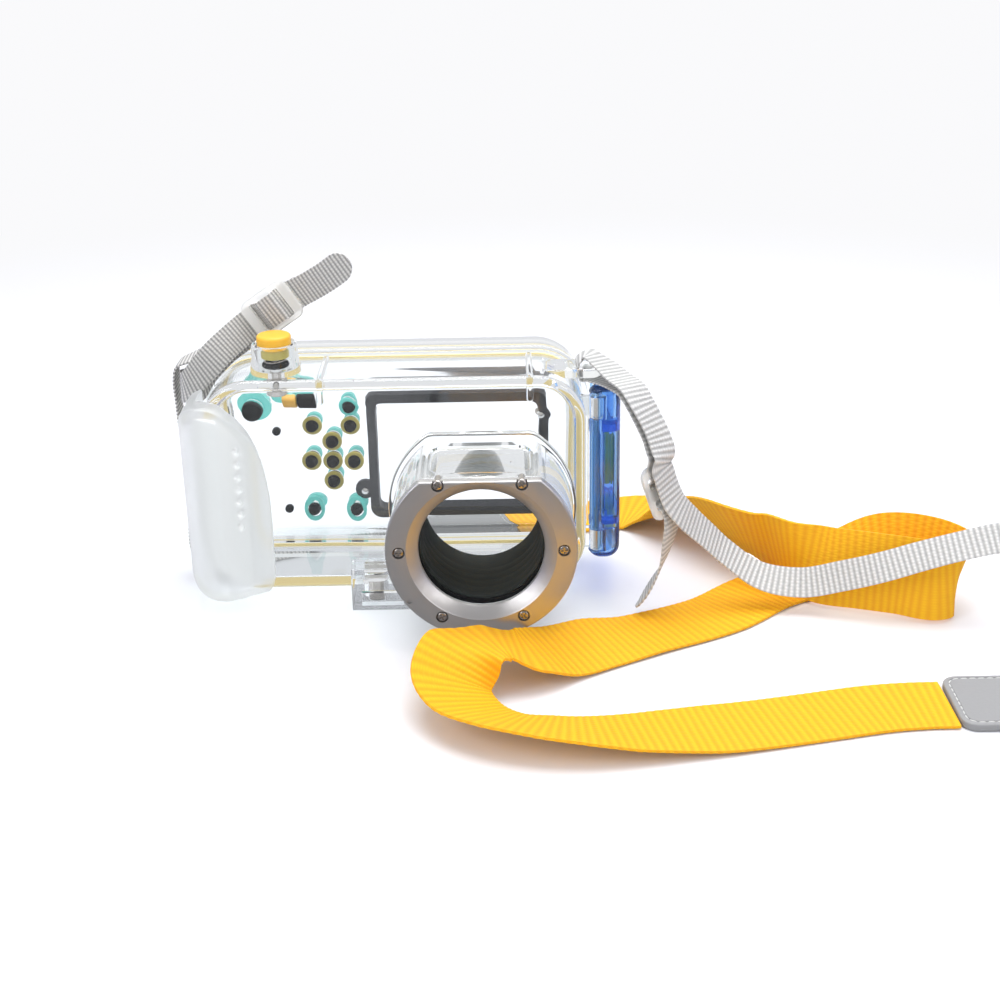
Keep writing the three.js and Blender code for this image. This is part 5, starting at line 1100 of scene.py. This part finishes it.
def return_spring():
    """The shutter's spring, wound as one wire with its ends laid flat."""
    wire, coil, low, high, turns = 0.22, 3.5, 81.73, 85.97, 3.5
    count, sides = 220, 12
    centre = []
    for k in range(count + 1):
        s = k / count * turns
        rise = min(max((s - 0.5) / (turns - 1), 0), 1)
        z = low + (high - low) * rise
        centre.append(Vector((
            SHUTTER_AXIS[0] + coil * math.cos(ROUND * s), SHUTTER_AXIS[1] + coil * math.sin(ROUND * s), z)))
    verts = []
    for k, middle in enumerate(centre):
        along = (centre[min(k + 1, count)] - centre[max(k - 1, 0)]).normalized()
        out = Vector((middle.x - SHUTTER_AXIS[0], middle.y - SHUTTER_AXIS[1], 0)).normalized()
        up = along.cross(out).normalized()
        for s in range(sides):
            a = ROUND * s / sides
            verts.append(middle + out * (wire * math.cos(a)) + up * (wire * math.sin(a)))
    return new_object("return_spring", verts, rings_to_faces(count + 1, sides), 60)


def door_stud(name, place):
    profile = [(0, 43.0), (1.2, 43.0), (1.5, 43.3), (1.5, 44.6), (0, 44.6)]
    return lathe("y", profile, place, name, 32)


def mode_wheel():
    profile = [(0, 40.1), (3.1, 40.1), (3.5, 40.4), (3.6, 40.9), (3.6, 44.0), (3.4, 44.5), (2.2, 44.5),
               (2.2, 42.5), (0, 42.5)]
    return lathe("y", profile, CONTROLS[0], "wheel_fine", 64)


def shutter_cap():
    profile = [(0, 86.5), (5.4, 86.5), (5.6, 86.7), (5.6, 90.2), (5.45, 90.6), (5.1, 90.85),
               (4.5, 90.98), (0, 91.1)]
    stem_hole = rod("z", 1.9, 85, 88.8, SHUTTER_AXIS)
    return combine("shutter_cap_fine", lathe("z", profile, SHUTTER_AXIS), [("-", stem_hole)])


def shutter_skirt():
    """The amber sleeve that hangs under the cap, round the spring."""
    profile = [(4.1, 83.4), (4.6, 83.4), (4.7, 83.5), (4.7, 86.5), (4.1, 86.5)]
    return lathe("z", profile, SHUTTER_AXIS, closed=True)


def zoom_roller(left, right, half, corner):
    """One length of the soft arm that turns the camera's zoom lever."""
    middle_z = 58.6
    return slab("x", rounded(40.1, 44.5, middle_z - half, middle_z + half, corner), left, right, 0.6)


finish_piece(front_shell(), CLEAR, "housing", "clear_plastic", "front_shell")
finish_piece(rear_shell(), CLEAR, "door", "clear_plastic", "rear_shell")
finish_piece(port_ring(), METAL, "housing", "port_metal", "port_ring")
finish_piece(port_liner(), LINER, "housing", "dark_liner", "port_liner")
for number, screw_place in enumerate(SCREW_PLACES, 1):
    finish_piece(ring_screw(number, screw_place), DARK_STEEL, "housing", "steel", "ring_screw_%d" % number)
finish_piece(grip(), FROSTED, "housing", "frosted_plastic", "grip")
finish_piece(latch_lever(), BLUE, "latch", "blue_plastic", "latch_lever")

for label, (bx, bz) in BUTTONS.items():
    rider = "button_" + label
    oval = label in ("menu", "display")
    teal = oval or label == "record"
    finish_piece(cap_fine(label + "_cap_fine", bx, bz, oval), TEAL, rider, "teal_plastic", label + "_cap")
    finish_piece(plunger_fine(label + "_tip", bx, bz), RUBBER, rider, "black_rubber", label + "_plunger")
    bush_wide, bush_tall = (3.7, 5.0) if oval else (3.5, 3.5)
    ring = bush(label + "_bush", bx, bz, bush_wide, bush_tall)
    finish_piece(ring, TEAL if teal else AMBER, rider, "teal_plastic" if teal else "yellow_plastic",
                 label + "_plunger")
for number, place in enumerate(STUDS, 1):
    finish_piece(door_stud("stud_%d" % number, place), RUBBER, "door", "black_rubber")
finish_piece(mode_wheel(), RUBBER, "mode", "black_rubber", "mode_wheel")
finish_piece(shutter_cap(), YELLOW, "shutter", "yellow_plastic", "shutter_cap")
spring = finish_piece(return_spring(), DARK_STEEL, "housing", "steel", "shutter_spring")
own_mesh(spring)
finish_piece(shutter_skirt(), AMBER, "shutter", "yellow_plastic", "shutter_cap")
finish_piece(zoom_roller(-43.6, -38.7, 2.4, 1.9), ORANGE, "zoom", "yellow_plastic", "zoom_arm")
finish_piece(zoom_roller(-38.4, -32.1, 2.6, 2.0), RUBBER, "zoom", "black_rubber", "zoom_arm")

SLIDERS = {
    "left": ((-42, 23.5, 96), (0.83, 0, 0.558), (-0.558, 0, 0.83)),
    "right": ((83.7, -14, 45.1), (0.32, 0, -0.947), (0.64, 0.74, 0.21)),
}
PATCHES = {"left": ((14, 54.8, 0), (0.97, 0.25, 0)), "right": ((186, -77.5, 0), (1, 0, 0))}
worn = {"left": [], "right": []}
for side, where in SLIDERS.items():
    piece = slider("slider_%s_fine" % side, *where)
    worn[side].append(finish_piece(piece, SLIDER, "housing", "frosted_plastic", "slider_" + side))
for side, where in PATCHES.items():
    piece = patch("patch_%s_fine" % side, *where)
    finish_piece(piece, LEATHER, "housing", "grey_leather", "patch_" + side)
    thread = stitches("patch_%s_thread" % side, *where)
    finish_piece(thread, THREAD, "housing", "grey_leather", "patch_" + side)

wide, wide_path, wide_length = webbing("wide_webbing", WIDE_ROUTE, 26, 1.4, 2.5, 0.22, columns=10)
left, left_path, left_length = webbing(
    "left_webbing", LEFT_ROUTE, 10, 1.0, 1.3, 0.3, squared=False, rounded_ends=(5.0, 0.0))
right, right_path, right_length = webbing(
    "right_webbing", RIGHT_ROUTE, 10, 1.0, 1.8, 0.3, rounded_ends=(4.0, 0.0))
finish_piece(wide, WEB_YELLOW, "housing", "yellow_webbing", "strap_wide")
finish_piece(left, WEB_FINE, "housing", "grey_webbing", "strap_left")
finish_piece(right, WEB_GREY, "housing", "grey_webbing", "strap_right")
print("strap lengths in metres", wide_length, left_length, right_length)


# Floor, sky and lights

FLOOR_FADE = (0.22, 0.62)
FAR_FLOOR, FAR_FLOOR_COLOR = 0.97, (0.985, 0.985, 1.0, 1)
MIRRORED_FLOOR, MIRRORED_SKY = 0.28, 0.34
SKY_LIGHT, SKY_SEEN = 0.78, 0.96
SOFTBOX = (0.5, 0.6)


def mirrored_in_front(tree, path, vector, middle):
    """1 for mirrored rays that end in front of the object, softly down to 0 behind it. Rays that
    have passed through clear plastic are left out."""
    mirrored = math_node(tree, "SUBTRACT", path.outputs["Is Glossy Ray"], path.outputs["Is Transmission Ray"],
                         True)
    parts = tree.nodes.new("ShaderNodeSeparateXYZ")
    tree.links.new(vector, parts.inputs[0])
    ramp = tree.nodes.new("ShaderNodeMapRange")
    ramp.interpolation_type = "SMOOTHSTEP"
    ramp.inputs["From Min"].default_value = middle - 0.05
    ramp.inputs["From Max"].default_value = middle + 0.05
    ramp.inputs["To Min"].default_value = 1.0
    ramp.inputs["To Max"].default_value = 0.0
    tree.links.new(parts.outputs["Y"], ramp.inputs["Value"])
    return math_node(tree, "MULTIPLY", mirrored, ramp.outputs["Result"])


def floor():
    reach = 6000.0
    corners = [(-reach, -reach, 0), (reach, -reach, 0), (reach, reach, 0), (-reach, reach, 0)]
    obj = new_object("floor", corners, [(0, 1, 2, 3)])
    mat = base_material("floor_white", (0.84, 0.845, 0.87), 0.25, wear=None)
    tree = mat.node_tree
    surface = tree.nodes["Principled BSDF"]
    surface.inputs["Specular IOR Level"].default_value = 0.3
    where = tree.nodes.new("ShaderNodeTexCoord")
    far = tree.nodes.new("ShaderNodeVectorMath")
    far.operation = "LENGTH"
    tree.links.new(where.outputs["Object"], far.inputs[0])
    fade = tree.nodes.new("ShaderNodeMapRange")
    fade.interpolation_type = "SMOOTHSTEP"
    fade.inputs["From Min"].default_value = FLOOR_FADE[0]
    fade.inputs["From Max"].default_value = FLOOR_FADE[1]
    tree.links.new(far.outputs["Value"], fade.inputs["Value"])
    path = tree.nodes.new("ShaderNodeLightPath")
    seen = math_node(tree, "MAXIMUM", path.outputs["Is Camera Ray"], path.outputs["Is Transmission Ray"])
    share = math_node(tree, "MULTIPLY", fade.outputs["Result"], seen)
    glow = tree.nodes.new("ShaderNodeEmission")
    glow.inputs["Color"].default_value = FAR_FLOOR_COLOR
    glow.inputs["Strength"].default_value = FAR_FLOOR
    mix = tree.nodes.new("ShaderNodeMixShader")
    tree.links.new(share, mix.inputs[0])
    tree.links.new(surface.outputs[0], mix.inputs[1])
    tree.links.new(glow.outputs[0], mix.inputs[2])
    dim = tree.nodes.new("ShaderNodeEmission")
    dim.inputs["Color"].default_value = (0.97, 0.97, 1.0, 1)
    dim.inputs["Strength"].default_value = MIRRORED_FLOOR
    last = tree.nodes.new("ShaderNodeMixShader")
    tree.links.new(mirrored_in_front(tree, path, where.outputs["Object"], 0.0), last.inputs[0])
    tree.links.new(mix.outputs[0], last.inputs[1])
    tree.links.new(dim.outputs[0], last.inputs[2])
    tree.links.new(last.outputs[0], tree.nodes["Material Output"].inputs["Surface"])
    obj.data.materials.append(mat)


def card(name, x, y0, y1, z0, z1):
    """A dusky card beside the set, out of view; its image draws the clear pieces' edges."""
    obj = new_object(name, [(x, y0, z0), (x, y1, z0), (x, y1, z1), (x, y0, z1)], [(0, 1, 2, 3)])
    obj.data.materials.append(base_material(name, (0.2, 0.2, 0.34), 0.8, wear=None))
    obj.visible_camera = False


def sky():
    world = bpy.data.worlds.new("studio")
    bpy.context.scene.world = world
    world.use_nodes = True
    tree = world.node_tree
    light = tree.nodes["Background"]
    light.inputs["Color"].default_value = (0.93, 0.95, 1.0, 1)
    light.inputs["Strength"].default_value = SKY_LIGHT
    seen = tree.nodes.new("ShaderNodeBackground")
    seen.inputs["Color"].default_value = (1, 1, 1, 1)
    seen.inputs["Strength"].default_value = SKY_SEEN
    path = tree.nodes.new("ShaderNodeLightPath")
    mix = tree.nodes.new("ShaderNodeMixShader")
    either = math_node(tree, "MAXIMUM", path.outputs["Is Camera Ray"], path.outputs["Is Transmission Ray"])
    tree.links.new(either, mix.inputs[0])
    tree.links.new(light.outputs[0], mix.inputs[1])
    tree.links.new(seen.outputs[0], mix.inputs[2])
    shine = tree.nodes.new("ShaderNodeBackground")
    shine.inputs["Color"].default_value = (0.95, 0.97, 1.0, 1)
    shine.inputs["Strength"].default_value = MIRRORED_SKY
    last = tree.nodes.new("ShaderNodeMixShader")
    where = tree.nodes.new("ShaderNodeTexCoord")
    tree.links.new(mirrored_in_front(tree, path, where.outputs["Generated"], 0.1), last.inputs[0])
    tree.links.new(mix.outputs[0], last.inputs[1])
    tree.links.new(shine.outputs[0], last.inputs[2])
    tree.links.new(last.outputs[0], tree.nodes["World Output"].inputs["Surface"])


def lamp(name, at, aim, size, power, color=(1, 1, 1)):
    data = bpy.data.lights.new(name, "AREA")
    data.shape = "RECTANGLE"
    data.size, data.size_y = size
    data.energy = power
    data.color = color
    obj = bpy.data.objects.new(name, data)
    bpy.context.scene.collection.objects.link(obj)
    obj.location = Vector(at)
    obj.rotation_euler = (Vector(aim) - Vector(at)).to_track_quat("-Z", "Y").to_euler()


floor()
sky()
card("left_card", -620, -350, 450, 0, 520)
card("right_card", 700, -350, 450, 0, 520)
lamp("top_softbox", (0.1, 0.15, 0.95), (0.05, 0, 0.03), (0.9, 0.7), 9.0)
lamp("left_softbox", (-0.75, -0.45, 0.5), (0.0, 0, 0.05), SOFTBOX, 4.0, (0.97, 0.98, 1.0))
lamp("right_softbox", (0.8, -0.35, 0.45), (0.05, 0, 0.05), SOFTBOX, 3.0, (1.0, 0.98, 0.96))

bpy.context.scene.view_settings.view_transform = "Standard"
